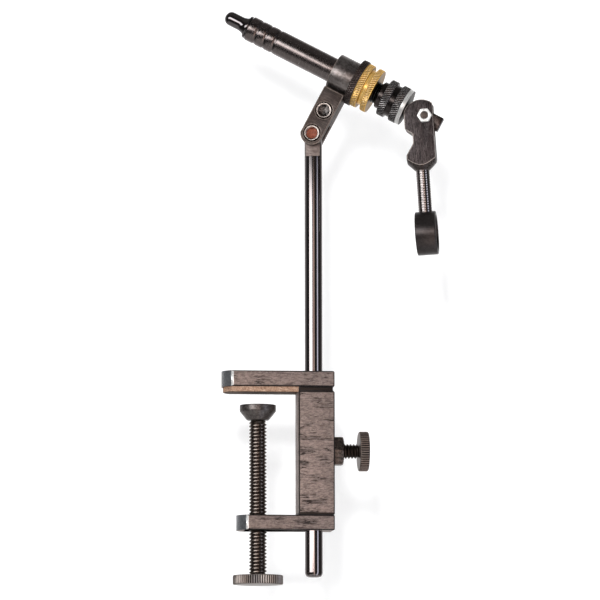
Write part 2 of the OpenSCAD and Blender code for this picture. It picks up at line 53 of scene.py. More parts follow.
FINE_SIDES = 96        # facets round a turned piece
BARREL_SIDES = 128     # facets round the barrel
TOOTH_SIDES = 6        # facets in one tooth of a knurl
ROUND_STEPS = 4        # facets in a rounded corner of a section
KNOB_ROWS = 7          # rings across a knob's rim
KNOB_CHAMFER = 0.45    # millimetres at its corners
WELD = 2e-6            # metres within which a CAD node's vertices are one
FLAT = 0.6             # degrees under which its neighbouring facets are one
CAD_CREASE = 40.0      # degrees past which an edge stays sharp, on eased and threaded pieces
TURNED_CREASE = 30.0   # on turned ones
SMALL_CREASE = 35.0    # on the clamp's tip and the finger ring
KNURL_CREASE = 24.0    # on knurled ones
RUN_OUT = 0.7          # the share of a pitch in which a thread fades at its ends
ROOT_SHARE = 0.05      # the share of its wave that is flat root
TOOTH_SLOPE = 1.45     # how fast a sharp tooth climbs from it
SMOOTH_RIDGE = 0.62    # the ridge value of the smooth parts of a knurled piece
UPRIGHT = 0.3          # what a normal's part along an axis stays under on a face beside it
SQUARE = 0.9           # what it passes on a face across the axis
Colour = tuple[float, float, float]


def hex_colour(code: str) -> Colour:
    """Turns a written sRGB code into the linear colour that a shader takes.

    Args:
        code: six hex digits.
    Returns:
        The linear red, green and blue.
    """
    shares = [int(code[i:i + 2], 16) / 255 for i in (0, 2, 4)]
    return tuple(c / 12.92 if c <= 0.04045 else ((c + 0.055) / 1.055) ** 2.4 for c in shares)


# ---------------------------------------------------------------- node graphs


def joined(operation: str, swapped: bool = False) -> Callable[..., "Wire"]:
    """Makes a method of Wire that adds the node of one Math or Vector Math operation.

    Args:
        operation: the operation.
        swapped: True for a reflected operator, whose other value comes first.
    Returns:
        The method.
    """
    def method(wire: "Wire", other: Any = None) -> "Wire":
        """Joins the wire, and the other value where there is one."""
        values = [wire] if other is None else [other, wire] if swapped else [wire, other]
        vectors = [v for v in values if isinstance(v, Wire) and v.socket.type == "VECTOR"]
        kind = "ShaderNodeVectorMath" if vectors else "ShaderNodeMath"
        return wire.graph.out(kind, {"operation": operation}, dict(enumerate(values)))

    return method


class Wire:
    """A node's output. Python operators on numbers and wires add Math or Vector Math nodes."""

    def __init__(self, graph: "Graph", socket: bpy.types.NodeSocket) -> None:
        """Wraps a socket of a graph."""
        self.graph = graph
        self.socket = socket

    __add__, __radd__ = joined("ADD"), joined("ADD", True)
    __sub__, __rsub__ = joined("SUBTRACT"), joined("SUBTRACT", True)
    __mul__, __rmul__ = joined("MULTIPLY"), joined("MULTIPLY", True)
    __truediv__, __rtruediv__ = joined("DIVIDE"), joined("DIVIDE", True)
    __abs__ = joined("ABSOLUTE")
    cosine, sine, fraction = joined("COSINE"), joined("SINE"), joined("FRACT")
    least, above, bearing = joined("MINIMUM"), joined("GREATER_THAN"), joined("ARCTAN2")

    def __neg__(self) -> "Wire":
        """-self."""
        return self * -1.0

    def clamped(self) -> "Wire":
        """The value kept between 0 and 1."""
        return self.graph.out("ShaderNodeClamp", None, {0: self})

    def wave(self) -> "Wire":
        """A triangle wave: 0 at whole numbers and 1 half way between them."""
        return 1.0 - abs(self.fraction() * 2.0 - 1.0)

    def axis(self, index: int) -> "Wire":
        """One of a vector's three parts."""
        return self.graph.out("ShaderNodeSeparateXYZ", None, {0: self}, index)


class Graph:
    """A shader, world or geometry node tree that is being filled."""

    def __init__(self, tree: bpy.types.NodeTree) -> None:
        """Empties the tree."""
        self.tree = tree
        tree.nodes.clear()

    def node(self, kind: str, settings: dict[str, Any] | None = None,
             inputs: dict[int | str, Any] | None = None) -> bpy.types.Node:
        """Adds a node.

        Args:
            kind: the node's type.
            settings: its properties, set before its sockets.
            inputs: the value or wire of each input, by index or name.
        Returns:
            The node.
        """
        made = self.tree.nodes.new(kind)
        for name, value in (settings or {}).items():
            setattr(made, name, value)
        for key, value in (inputs or {}).items():
            target = made.inputs[key]
            if isinstance(value, Wire):
                self.tree.links.new(value.socket, target)
            elif isinstance(value, tuple) and target.type == "RGBA":
                target.default_value = (*value, 1.0)
            elif isinstance(value, (int, float)) and target.type == "VECTOR":
                target.default_value = (value,) * 3
            else:
                target.default_value = value
        return made

    def out(self, kind: str, settings: dict[str, Any] | None = None,
            inputs: dict[int | str, Any] | None = None, output: int | str = 0) -> Wire:
        """Adds a node and returns one of its outputs.

        Args:
            kind: the node's type.
            settings: its properties.
            inputs: its sockets' values.
            output: the output's index or name.
        Returns:
            That output as a wire.
        """
        return Wire(self, self.node(kind, settings, inputs).outputs[output])

    def rays(self, *kinds: str) -> list[Wire]:
        """The wires that say whether a ray is of the given kinds, such as Camera."""
        path = self.node("ShaderNodeLightPath")
        return [Wire(self, path.outputs[f"Is {kind} Ray"]) for kind in kinds]

    def mix(self, share: Any, first: Any, second: Any) -> Wire:
        """Mixes two colours.

        Args:
            share: how much of the second colour there is.
            first: the colour at 0.
            second: the colour at 1.
        Returns:
            The mixed colour.
        """
        settings = {"data_type": "RGBA", "clamp_factor": True}
        return self.out("ShaderNodeMix", settings, {0: share, 6: first, 7: second}, 2)

    def noise(self, where: Wire, scale: float, detail: float = 4.0, rough: float = 0.55,
              bend: float = 0.0) -> Wire:
        """Adds a noise texture.

        Args:
            where: the coordinates.
            scale: features per metre of those coordinates.
            detail: the number of finer layers.
            rough: how strong the finer layers are.
            bend: how far the noise is distorted.
        Returns:
            The noise, 0 to 1.
        """
        inputs = {"Vector": where, "Scale": scale, "Detail": detail, "Roughness": rough,
                  "Distortion": bend}
        return self.out("ShaderNodeTexNoise", None, inputs)

    def band(self, value: Wire, low: float, high: float) -> Wire:
        """Stretches a value so that low gives 0 and high gives 1, smoothly and clamped.

        Args:
            value: the value.
            low: what becomes 0.
            high: what becomes 1.
        Returns:
            The stretched value.
        """
        settings = {"interpolation_type": "SMOOTHSTEP"}
        return self.out("ShaderNodeMapRange", settings, {0: value, 1: low, 2: high})


# ---------------------------------------------------------------- frames


@dataclass(frozen=True)
class HeadFrame:
    """Where the head stands: the knuckle's pivot, the barrel's axis and the lever's axle."""

    reach: float = 30.0
    pivot_h: float = 140.0
    turn: float = -12.0
    tilt: float = 28.0
    rise: float = 35.9
    axle_back: float = 49.7
    lever_lean: float = 31.5

    def pivot(self) -> Matrix:
        """The frame at the knuckle's pivot, in metres."""
        place = Matrix.Translation(Vector((self.reach, 0, self.pivot_h)) * MM)
        turn = Matrix.Rotation(math.radians(self.turn), 4, "Z")
        return place @ turn @ Matrix.Rotation(math.radians(self.tilt), 4, "Y")

    def barrel(self) -> Matrix:
        """The frame at the sleeve's middle, on the barrel's axis."""
        return self.pivot() @ Matrix.Translation((0, 0, self.rise * MM))

    def lever(self) -> Matrix:
        """The frame at the lever's axle, with the block hanging along -Z."""
        back = Matrix.Translation((self.axle_back * MM, 0, 0))
        return self.barrel() @ back @ Matrix.Rotation(math.radians(-self.lever_lean), 4, "Y")


def upright(x: float, z: float = 0.0, down: bool = False) -> Matrix:
    """A frame whose X runs up, or down, the world's Z from a point on the plane y = 0.

    Args:
        x: the point's X in millimetres.
        z: the point's Z in millimetres.
        down: True to run down.
    Returns:
        The frame, in metres.
    """
    turn = Matrix.Rotation(math.radians(90 if down else -90), 4, "Y")
    return Matrix.Translation(Vector((x, 0, z)) * MM) @ turn


# ---------------------------------------------------------------- finishes


class Grain(Enum):
    """The direction in which a face was brushed or turned, in its own frame."""

    ALONG_X = (0.12, 1.0, 1.0)
    ALONG_Z = (1.0, 1.0, 0.12)
    TURNED = (1.0, 0.05, 0.05)
    NONE = (1.0, 1.0, 1.0)


@dataclass(frozen=True)
class Finish:
    """A surface: its colours, gloss and the marks on it.

    The marks are worked out in the frame of the piece, so they follow it in every pose.
    """

    name: str
    base: str
    dark: str
    light: str
    metallic: float = 1.0
    rough: float = 0.4
    rough_spread: float = 0.15
    grain: Grain = Grain.NONE
    grain_scale: float = 900.0
    grain_share: float = 0.5
    grain_bend: float = 0.0
    blotch_scale: float = 140.0
    blotch_share: float = 0.5
    speck_scale: float = 1500.0
    speck_share: float = 0.0
    bump: float = 0.25
    bump_depth: float = 0.03
    # groove_shade and crest_highlight: painted shade in a thread's or knurl's grooves and a painted
    # highlight on its crests
    groove_shade: str = ""
    crest_highlight: str = ""

    def build(self, place: Matrix | None = None) -> bpy.types.Material:
        """Makes the material.

        Args:
            place: the frame that its marks follow, or None for the object's own.
        Returns:
            The material, with its nodes.
        """
        made = bpy.data.materials.new(self.name)
        made.use_nodes = True
        graph = Graph(made.node_tree)
        where = graph.out("ShaderNodeTexCoord", None, None, "Object")
        if place is not None:
            settings = {"vector_type": "TEXTURE"}
            moved = {"Location": place.to_translation(), "Rotation": place.to_euler(), 0: where}
            where = graph.out("ShaderNodeMapping", settings, moved)
        colour, rough, height = self.marks(graph, where)
        # Painted shade darkens the grooves and a painted highlight lightens the crests, read from the
        # ridge attribute.
        if self.groove_shade:
            ridge = graph.out("ShaderNodeAttribute", {"attribute_name": "ridge"}, None, "Fac")
            colour = graph.mix(graph.band(ridge, 0.15, 0.6), hex_colour(self.groove_shade), colour)
            colour = graph.mix(graph.band(ridge, 0.7, 0.92) * 0.9, colour, hex_colour(self.crest_highlight))
        normal = graph.out("ShaderNodeBump", None,
                           {"Strength": self.bump, "Distance": self.bump_depth * MM,
                            "Height": height})
        inputs = {"Base Color": colour, "Metallic": self.metallic, "Roughness": rough,
                  "Normal": normal}
        shader = graph.out("ShaderNodeBsdfPrincipled", None, inputs)
        graph.node("ShaderNodeOutputMaterial", None, {"Surface": shader})
        return made

    def marks(self, graph: Graph, where: Wire) -> tuple[Wire, Wire, Wire]:
        """Works out what changes over the surface.

        Args:
            graph: the material's graph.
            where: the coordinates in the piece's frame.
        Returns:
            The colour, the roughness and the height.
        """
        stretched = where * self.grain.value
        grain = graph.noise(stretched, self.grain_scale, 5.0, 0.65, self.grain_bend)
        blotch = graph.noise(where, self.blotch_scale, 4.0, 0.6, 0.4)
        speck = graph.noise(where, self.speck_scale, 2.0, 0.5)
        lines = graph.band(grain, 0.35, 0.68)
        patches = graph.band(blotch, 0.36, 0.66)
        dots = graph.band(speck, 0.62, 0.72) * self.speck_share
        colour = graph.mix(patches * self.blotch_share, hex_colour(self.base),
                           hex_colour(self.dark))
        colour = graph.mix(lines * self.grain_share, colour, hex_colour(self.light))
        colour = graph.mix(dots, colour, hex_colour(self.light))
        rough = self.rough + (grain - 0.5) * self.rough_spread + (blotch - 0.5) * self.rough_spread
        height = grain * self.grain_share + blotch * 0.3 + dots
        return colour, rough.clamped(), height


@dataclass(frozen=True)
class ScratchedSteel(Finish):
    """Browned bar steel with a rolled grain, short dark scores and pale nicks."""

    score_share: float = 0.9
    score_scale: float = 400.0
    pit_share: float = 0.45
    nick_share: float = 0.4
    joint_shadows: tuple[tuple[float, float], ...] = ()

    def marks(self, graph: Graph, where: Wire) -> tuple[Wire, Wire, Wire]:
        """Adds clustered scores along the grain, pits, pale nicks and painted shadow bands along the
        joints.
        """
        colour, rough, height = super().marks(graph, where)
        long_way = tuple(0.1 if v < 1 else 1.0 for v in self.grain.value)
        short_way = tuple(0.45 if v < 1 else 1.0 for v in self.grain.value)
        clusters = graph.band(graph.noise(where * short_way, 230.0, 2.0), 0.44, 0.58)
        scores = graph.noise(where * long_way, self.score_scale, 4.0, 0.6, 0.7)
        cut = graph.band(abs(scores - 0.5), 0.035, 0.008) * clusters * self.score_share
        pits = graph.noise(where * short_way, 1150.0, 4.0, 0.7, 0.5)
        pitted = graph.band(pits, 0.56, 0.38) * self.pit_share
        nicks = graph.band(graph.noise(where * short_way, 1700.0, 2.0), 0.62, 0.7)
        colour = graph.mix(pitted, colour, hex_colour(self.dark))
        colour = graph.mix(cut, colour, hex_colour("181312"))
        colour = graph.mix(nicks * self.nick_share, colour, hex_colour(self.light))
        # Painted shadow: dark bands across the face at the given heights, where the column meets the
        # bars.
        for middle, half in self.joint_shadows:
            apart = abs(where.axis(2) * 1000.0 + (scores - 0.5) * 2.2 - middle)
            colour = graph.mix(graph.band(apart, half * 1.25, half * 0.7), colour,
                               hex_colour("302723"))
        return colour, rough, height - cut * 1.6 - pitted * 0.8 + nicks * 0.6


@dataclass(frozen=True)
class PressedLeather(Finish):
    """The tan pad: pressed fibres in thin layers. Its underside gets a darker copy as painted shade.
    """

    layer_scale: float = 2600.0

    def marks(self, graph: Graph, where: Wire) -> tuple[Wire, Wire, Wire]:
        """Makes fibres and layers in place of metal grain."""
        layers = graph.noise(where * (0.25, 0.25, 1.0), self.layer_scale, 3.0, 0.6)
        fibres = graph.noise(where * (1.0, 1.0, 0.4), 1700.0, 5.0, 0.7, 0.8)
        warm = graph.noise(where, 260.0, 2.0)
        colour = graph.mix(graph.band(fibres, 0.3, 0.7), hex_colour(self.dark),
                           hex_colour(self.base))
        colour = graph.mix(graph.band(layers, 0.5, 0.75) * 0.6, colour, hex_colour(self.light))
        colour = graph.mix(graph.band(warm, 0.6, 0.75) * 0.5, colour, hex_colour("c98a3c"))
        rough = self.rough + (fibres - 0.5) * self.rough_spread
        return colour, rough.clamped(), fibres + layers * 0.6


# ---------------------------------------------------------------- geometry trees


def evaluated(obj: bpy.types.Object) -> bpy.types.Mesh:
    """Keeps an object's evaluated mesh and drops the object.

    Args:
        obj: the object, with its modifiers.
    Returns:
        The plain mesh.
    """
    graph = bpy.context.evaluated_depsgraph_get()
    mesh = bpy.data.meshes.new_from_object(obj.evaluated_get(graph))
    obj.modifiers.clear()
    bpy.data.objects.remove(obj)
    return mesh


class TreeKind(Enum):
    """The two rules that the repeated forms follow."""

    THREAD = "thread"
    KNURL = "knurl"


class FormTrees:
    """Builds the Geometry Nodes trees once and grows meshes with them."""

    def __init__(self) -> None:
        """Makes both trees."""
        self.trees = {TreeKind.THREAD: self.thread_tree(), TreeKind.KNURL: self.knurl_tree()}

    @staticmethod
    def new_tree(name: str, sizes: dict[str, float | int]) -> tuple[Graph, dict[str, Wire]]:
        """Starts a tree with named inputs.

        Args:
            name: the tree's name.
            sizes: the name and first value of each input.
        Returns:
            The graph, and a wire for each input, with "Geometry" and "Material".
        """
        tree = bpy.data.node_groups.new(name, "GeometryNodeTree")
        face = tree.interface
        face.new_socket("Geometry", in_out="OUTPUT", socket_type="NodeSocketGeometry")
        face.new_socket("Geometry", in_out="INPUT", socket_type="NodeSocketGeometry")
        for label, value in sizes.items():
            kind = "NodeSocketInt" if isinstance(value, int) else "NodeSocketFloat"
            face.new_socket(label, in_out="INPUT", socket_type=kind).default_value = value
        face.new_socket("Material", in_out="INPUT", socket_type="NodeSocketMaterial")
        graph = Graph(tree)
        entry = graph.node("NodeGroupInput")
        return graph, {s.name: Wire(graph, s) for s in entry.outputs if s.name}

    @staticmethod
    def close_tree(graph: Graph, shape: Wire, finish: Wire) -> bpy.types.NodeTree:
        """Ends a tree in Realize Instances and Set Material.

        Args:
            graph: the tree's graph.
            shape: the finished geometry.
            finish: the material.
        Returns:
            The tree.
        """
        real = graph.out("GeometryNodeRealizeInstances", None, {0: shape})
        dressed = graph.out("GeometryNodeSetMaterial", None, {"Geometry": real, "Material": finish})
        graph.node("NodeGroupOutput", None, {0: dressed})
        return graph.tree

    @staticmethod
    def mark(graph: Graph, shape: Wire, height: Wire) -> Wire:
        """Stores how high each point stands on its tooth, for the finish to read."""
        settings = {"data_type": "FLOAT", "domain": "POINT"}
        return graph.out("GeometryNodeStoreNamedAttribute", settings, {
            "Geometry": shape, "Name": "ridge", "Value": height})

    def thread_tree(self) -> bpy.types.NodeTree:
        """Makes a helical thread along X: a grid whose rows climb, closed at both ends."""
        graph, size = self.new_tree("thread_form", {
            "Rows": 100, "Rows per turn": 8, "Sides": 32, "Length": 0.01, "Radius": 0.004,
            "Depth": 0.0008, "Pitch": 0.001, "Round": 0.0})
        rows, per_turn = size["Rows"], size["Rows per turn"]
        grid = graph.out("GeometryNodeMeshGrid", None, {
            "Size X": rows + 1.0, "Size Y": 1.0, "Vertices X": rows + 2.0,
            "Vertices Y": size["Sides"] + 1.0})
        spot = graph.out("GeometryNodeInputPosition")
        row = spot.axis(0) + (rows + 1.0) * 0.5
        share = spot.axis(1) + 0.5
        turns = (row - 1.0) / per_turn
        raw = (turns + share - 1.0) * size["Pitch"]
        along = (raw / size["Length"]).clamped() * size["Length"]
        run_out = size["Pitch"] * RUN_OUT
        fade = (raw / run_out).clamped() * ((size["Length"] - raw) / run_out).clamped()
        sharp = ((turns.wave() - ROOT_SHARE) * TOOTH_SLOPE).clamped()
        soft = 0.5 - (turns * FULL_TURN).cosine() * 0.5
        tooth = sharp + (soft - sharp) * size["Round"]
        inside = row.above(0.5) * (rows + 0.5).above(row)
        radius = (size["Radius"] - size["Depth"] * (1.0 - tooth * fade)) * inside
        angle = share * FULL_TURN
        place = graph.out("ShaderNodeCombineXYZ", None, {
            0: along, 1: radius * angle.cosine(), 2: radius * angle.sine()})
        moved = graph.out("GeometryNodeSetPosition", None, {"Geometry": grid, "Position": place})
        marked = self.mark(graph, moved, tooth)
        closed = graph.out("GeometryNodeMergeByDistance", None, {"Geometry": marked,
                                                                "Distance": 1e-6})
        return self.close_tree(graph, closed, size["Material"])

    def knurl_tree(self) -> bpy.types.NodeTree:
        """Cuts crossed or straight grooves into a turned blank where its band attribute says."""
        graph, size = self.new_tree("knurl_form", {"Teeth": 60, "Cross": 0.0, "Second": 0.5,
                                                  "Depth": 0.0003})
        spot = graph.out("GeometryNodeInputPosition")
        y, z = spot.axis(1), spot.axis(2)
        share = z.bearing(y) * (1 / FULL_TURN) * size["Teeth"]
        lean = spot.axis(0) * size["Cross"]
        crossed = 1.0 - (1.0 - (share - lean).wave()) * size["Second"]
        ridge = (share + lean).wave().least(crossed)
        band = graph.out("GeometryNodeInputNamedAttribute", {"data_type": "FLOAT"},
                         {"Name": "band"})
        height = 1.0 - (1.0 - ridge) * band
        cut = (1.0 - height) * size["Depth"]
        outward = graph.out("ShaderNodeVectorMath", {"operation": "NORMALIZE"}, {
            0: graph.out("ShaderNodeCombineXYZ", None, {1: y, 2: z})})
        offset = graph.out("ShaderNodeVectorMath", {"operation": "SCALE"}, {
            0: outward, "Scale": -cut})
        marked = self.mark(graph, size["Geometry"], SMOOTH_RIDGE + (ridge - SMOOTH_RIDGE) * band)
        moved = graph.out("GeometryNodeSetPosition", None, {
            "Geometry": marked, "Offset": offset})
        return self.close_tree(graph, moved, size["Material"])

    def grow(self, kind: TreeKind, base: bpy.types.Mesh,
             values: dict[str, Any]) -> bpy.types.Mesh:
        """Runs a tree on a mesh and keeps the result as a plain mesh.

        Args:
            kind: which tree.
            base: what the tree starts from.
            values: the value of each named input.
        Returns:
            The evaluated mesh.
        """
        tree = self.trees[kind]
        obj = bpy.data.objects.new("blank", base)
        bpy.context.collection.objects.link(obj)
        modifier = obj.modifiers.new("form", "NODES")
        modifier.node_group = tree
        sockets = {item.name: item.identifier for item in tree.interface.items_tree
                   if item.item_type == "SOCKET" and item.in_out == "INPUT"}
        for label, value in values.items():
            modifier[sockets[label]] = value
        return evaluated(obj)


# ---------------------------------------------------------------- meshes


@dataclass(frozen=True)
class Ring:
    """One ring of a turned blank: its station, its radius and how deep a knurl cuts it."""

    x: float
    r: float
    band: float = 0.0


def rounded(points: Sequence[tuple[float, float]], radius: float) -> list[Ring]:
    """Rounds the corners of a turned outline.

    Args:
        points: the corners as station and radius.
        radius: the round's radius, smaller where a side is short.
    Returns:
        The rings.
    """
    rings: list[Ring] = []
    last = len(points) - 1
    for i, here in enumerate(points):
        if i in (0, last) or here[1] < radius * 0.5:
            rings.append(Ring(*here))
            continue
        spot, before, after = (Vector(points[k]) for k in (i, i - 1, i + 1))
        ahead, behind = after - spot, before - spot
        reach = min(radius, ahead.length * 0.45, behind.length * 0.45)
        start, end = spot + behind.normalized() * reach, spot + ahead.normalized() * reach
        for k in range(ROUND_STEPS + 1):
            t = k / ROUND_STEPS
            point = start * (1 - t) ** 2 + spot * (2 * t * (1 - t)) + end * t ** 2
            rings.append(Ring(point.x, point.y))
    return rings


def store(bm: bmesh.types.BMesh, mesh: bpy.types.Mesh) -> None:
    """Turns a closed surface's faces outward and writes it into a mesh."""
    bmesh.ops.recalc_face_normals(bm, faces=bm.faces)
    bm.to_mesh(mesh)
    bm.free()


def turned(rings: Sequence[Ring], sides: int = FINE_SIDES, loop: bool = False,
           shape: Callable[[int, float], float] | None = None) -> bpy.types.Mesh:
    """Turns rings about X into a closed mesh in metres.

    Args:
        rings: the rings, from end to end, or round the section where loop is True.
        sides: the facets round the axis.
        loop: True for a hollow piece, whose last ring joins its first.
        shape: an optional factor on the radius by ring and angle.
    Returns:
        The mesh, with its band attribute.
    """
    bm = bmesh.new()
    layer = bm.verts.layers.float.new("band")
    rows = []
    for i, ring in enumerate(rings):
        row = []
        for k in range(1 if ring.r < 1e-6 else sides):
            angle = FULL_TURN * k / sides
            r = ring.r * (shape(i, angle) if shape else 1.0)
            vert = bm.verts.new(Vector((ring.x, r * math.cos(angle), r * math.sin(angle))) * MM)
            vert[layer] = ring.band
            row.append(vert)
        rows.append(row)
    pairs = list(zip(rows, rows[1:])) + ([(rows[-1], rows[0])] if loop else [])
    for one, two in pairs:
        for k in range(sides):
            n = (k + 1) % sides
            corners = [one[k % len(one)], one[n % len(one)], two[n % len(two)], two[k % len(two)]]
            bm.faces.new(list(dict.fromkeys(corners)))
    mesh = bpy.data.meshes.new("blank")
    store(bm, mesh)
    return mesh


def knurl_band(x0: float, x1: float, r: float, rows: int, chamfer: float = 0.4) -> list[Ring]:
    """The rings of one knurled band, chamfered at both ends.

    Args:
        x0: the band's start.
        x1: its end.
        r: its outer radius.
        rows: the rings between the chamfers.
        chamfer: the chamfer's size.
    Returns:
        The rings.
    """
    a, b = x0 + chamfer, x1 - chamfer
    body = [Ring(a + (b - a) * k / (rows - 1), r, 1.0) for k in range(rows)]
    return [Ring(x0, r - chamfer), Ring(x0 + chamfer * 0.5, r - chamfer * 0.45, 0.4), *body,
            Ring(x1 - chamfer * 0.5, r - chamfer * 0.45, 0.4), Ring(x1, r - chamfer)]

def waisted(x: float, r: float, wide: float, gap: float, neck: float, ease: float,
            rows: int) -> list[Ring]:
    """The rings of two knurled bands with a smooth neck between them.

    Args:
        x: the first band's start.
        r: the bands' outer radius.
        wide: the width of each.
        gap: the neck's width.
        neck: its radius.
        ease: the neck's fillets.
        rows: the rings in each band.
    Returns:
        The rings.
    """
    near, far = x + wide, x + wide + gap
    return [*knurl_band(x, near, r, rows), Ring(near, neck + ease), Ring(near + ease, neck),
            Ring(far - ease, neck), Ring(far, neck + ease), *knurl_band(far, far + wide, r, rows)]


@dataclass(frozen=True)
class Thread:
    """A thread: outer radius, depth, pitch, softness from 0 to 1, rows in a turn, and sides."""

    radius: float
    depth: float
    pitch: float
    soft: float
    per_turn: int = 8
    sides: int = 32


@dataclass(frozen=True)
class Knurl:
    """A knurl: its teeth, their crossings in a metre, their depth and the other lean's share."""

    teeth: int
    cross: float
    depth: float
    second: float = 0.5


@dataclass(frozen=True)
class Part:
    """A piece: its name, body, material slot, finishes by face index, and CAD node if any."""

    name: str
    body: str
    slot: str
    finishes: Sequence[bpy.types.Material]
    node: str = ""


class Workshop:
    """Makes, smooths and places pieces, parents them to their bodies and hides the CAD nodes they
    replace.
    """

    def __init__(self) -> None:
        """Makes the trees and an empty list of pieces."""
        self.forms = FormTrees()
        self.pieces: list[bpy.types.Object] = []

    def place(self, part: Part, mesh: bpy.types.Mesh, place: Matrix | None = None,
              sharp: float = TURNED_CREASE) -> bpy.types.Object:
        """Puts a mesh into the scene as a piece at the origin, with its finishes and its body.

        Args:
            part: what the piece is.
            mesh: its mesh, in its own frame.
            place: that frame, or None for a mesh that is already in place.
            sharp: the angle past which an edge stays sharp, in degrees.
        Returns:
            The piece.
        """
        if place is not None:
            mesh.transform(place)
        mesh.name = part.name
        mesh.shade_smooth()
        mesh.set_sharp_from_angle(angle=math.radians(sharp))
        piece = bpy.data.objects.new(part.name, mesh)
        bpy.context.collection.objects.link(piece)
        for i, finish in enumerate(part.finishes):
            if i < len(mesh.materials):
                mesh.materials[i] = finish
            else:
                mesh.materials.append(finish)
        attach(piece, part.body)
        if part.node:
            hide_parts(part.node)
        self.pieces.append(piece)
        log.info("%s rides on %s in %s, %d faces", part.name, part.body, part.slot,
                 len(mesh.polygons))
        return piece

    def eased(self, part: Part, width: float, segments: int = 3, angle: float = 28.0,
              broad: float = 0.0, worn: Callable[[Vector], bool] | None = None,
              shortest: float = 0.0) -> bpy.types.Object:
        """Copies a part's CAD node and rounds its edges, whose faces take the second material.

        Args:
            part: what the piece is.
            width: the rounding's width in millimetres.
            segments: its facets.
            angle: the angle from which an edge is rounded, in degrees.
            broad: the width of the edges that are worn more.
            worn: tells from an end's place in millimetres which edges those are.
            shortest: the length under which an edge stays sharp.
        Returns:
            The piece.
        """
        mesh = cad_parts[part.node].data.copy()
        mesh.materials.clear()
        bm = bmesh.new()
        bm.from_mesh(mesh)
        bmesh.ops.remove_doubles(bm, verts=bm.verts, dist=WELD)
        bmesh.ops.dissolve_limit(bm, angle_limit=math.radians(FLAT), verts=bm.verts, edges=bm.edges)
        for face in bm.faces:
            face.material_index = 0
        widest = max(width, broad)
        share = bm.edges.layers.float.new("bevel_weight_edge")
        for edge in bm.edges:
            turned_over = len(edge.link_faces) == 2 and edge.calc_face_angle(0.0)
            if turned_over > math.radians(angle) and edge.calc_length() > shortest * MM:
                more = worn is not None and all(worn(v.co / MM) for v in edge.verts)
                edge[share] = (broad if more else width) / widest
        bm.to_mesh(mesh)
        bm.free()
        obj = bpy.data.objects.new("blank", mesh)
        bpy.context.collection.objects.link(obj)
        for _ in range(2):
            mesh.materials.append(None)
        bevel = obj.modifiers.new("ease", "BEVEL")
        settings = {"width": widest * MM, "segments": segments, "limit_method": "WEIGHT",
                    "edge_weight": "bevel_weight_edge", "material": 1,
                    "use_clamp_overlap": False}
        for name, value in settings.items():
            setattr(bevel, name, value)
        return self.place(part, evaluated(obj), None, CAD_CREASE)

    @staticmethod
    def repaint(piece: bpy.types.Object, index: int, test: Callable[[Vector, Vector], bool],
                place: Matrix | None = None) -> None:
        """Gives the faces that pass a test another of the piece's finishes.

        Args:
            piece: the piece.
            index: the finish's index.
            test: tells from a face's middle in millimetres and its normal.
            place: the frame of both, or None for the object's own.
        """
        back = Matrix() if place is None else place.inverted()
        turn = back.to_3x3()
        for face in piece.data.polygons:
            if test(back @ face.center / MM, turn @ face.normal):
                face.material_index = index

    def threaded(self, part: Part, length: float, thread: Thread,
                 place: Matrix) -> bpy.types.Object:
        """Makes a thread along X of a frame.

        Args:
            part: what the piece is.
            length: its length in millimetres.
            thread: its thread.
            place: the frame.
        Returns:
            The piece.
        """
        rows = math.ceil((length / thread.pitch + 1) * thread.per_turn) + 1
        values = {"Rows": rows, "Rows per turn": thread.per_turn, "Sides": thread.sides,
                  "Length": length * MM, "Radius": thread.radius * MM,
                  "Depth": thread.depth * MM, "Pitch": thread.pitch * MM, "Round": thread.soft}
        mesh = self.forms.grow(TreeKind.THREAD, bpy.data.meshes.new("empty"), values)
        bm = bmesh.new()
        bm.from_mesh(mesh)
        store(bm, mesh)
        return self.place(part, mesh, place, CAD_CREASE)

    def knurled(self, part: Part, rings: Sequence[Ring], knurl: Knurl, place: Matrix,
                loop: bool = True) -> bpy.types.Object:
        """Makes a turned piece with knurled bands.

        Args:
            part: what the piece is.
            rings: its section, with the bands marked.
            knurl: the bands' knurl.
            place: the frame.
            loop: True for a bored piece.
        Returns:
            The piece.
        """
        blank = turned(rings, knurl.teeth * TOOTH_SIDES, loop)
        values = {"Teeth": knurl.teeth, "Cross": knurl.cross, "Second": knurl.second,
                  "Depth": knurl.depth * MM}
        return self.place(part, self.forms.grow(TreeKind.KNURL, blank, values), place,
                          KNURL_CREASE)

    def thumbwheel(self, part: Part, width: float, across: float, knurl: Knurl,
                   place: Matrix) -> bpy.types.Object:
        """Makes a knob, a disc with its rim knurled.

        Args:
            part: what the piece is.
            width: its width along X.
            across: its diameter.
            knurl: its rim's knurl.
            place: the frame.
        Returns:
            The piece.
        """
        band = knurl_band(0, width, across / 2, KNOB_ROWS, KNOB_CHAMFER)
        return self.knurled(part, [Ring(0, 0), *band, Ring(width, 0)], knurl, place, False)


# ---------------------------------------------------------------- the vise


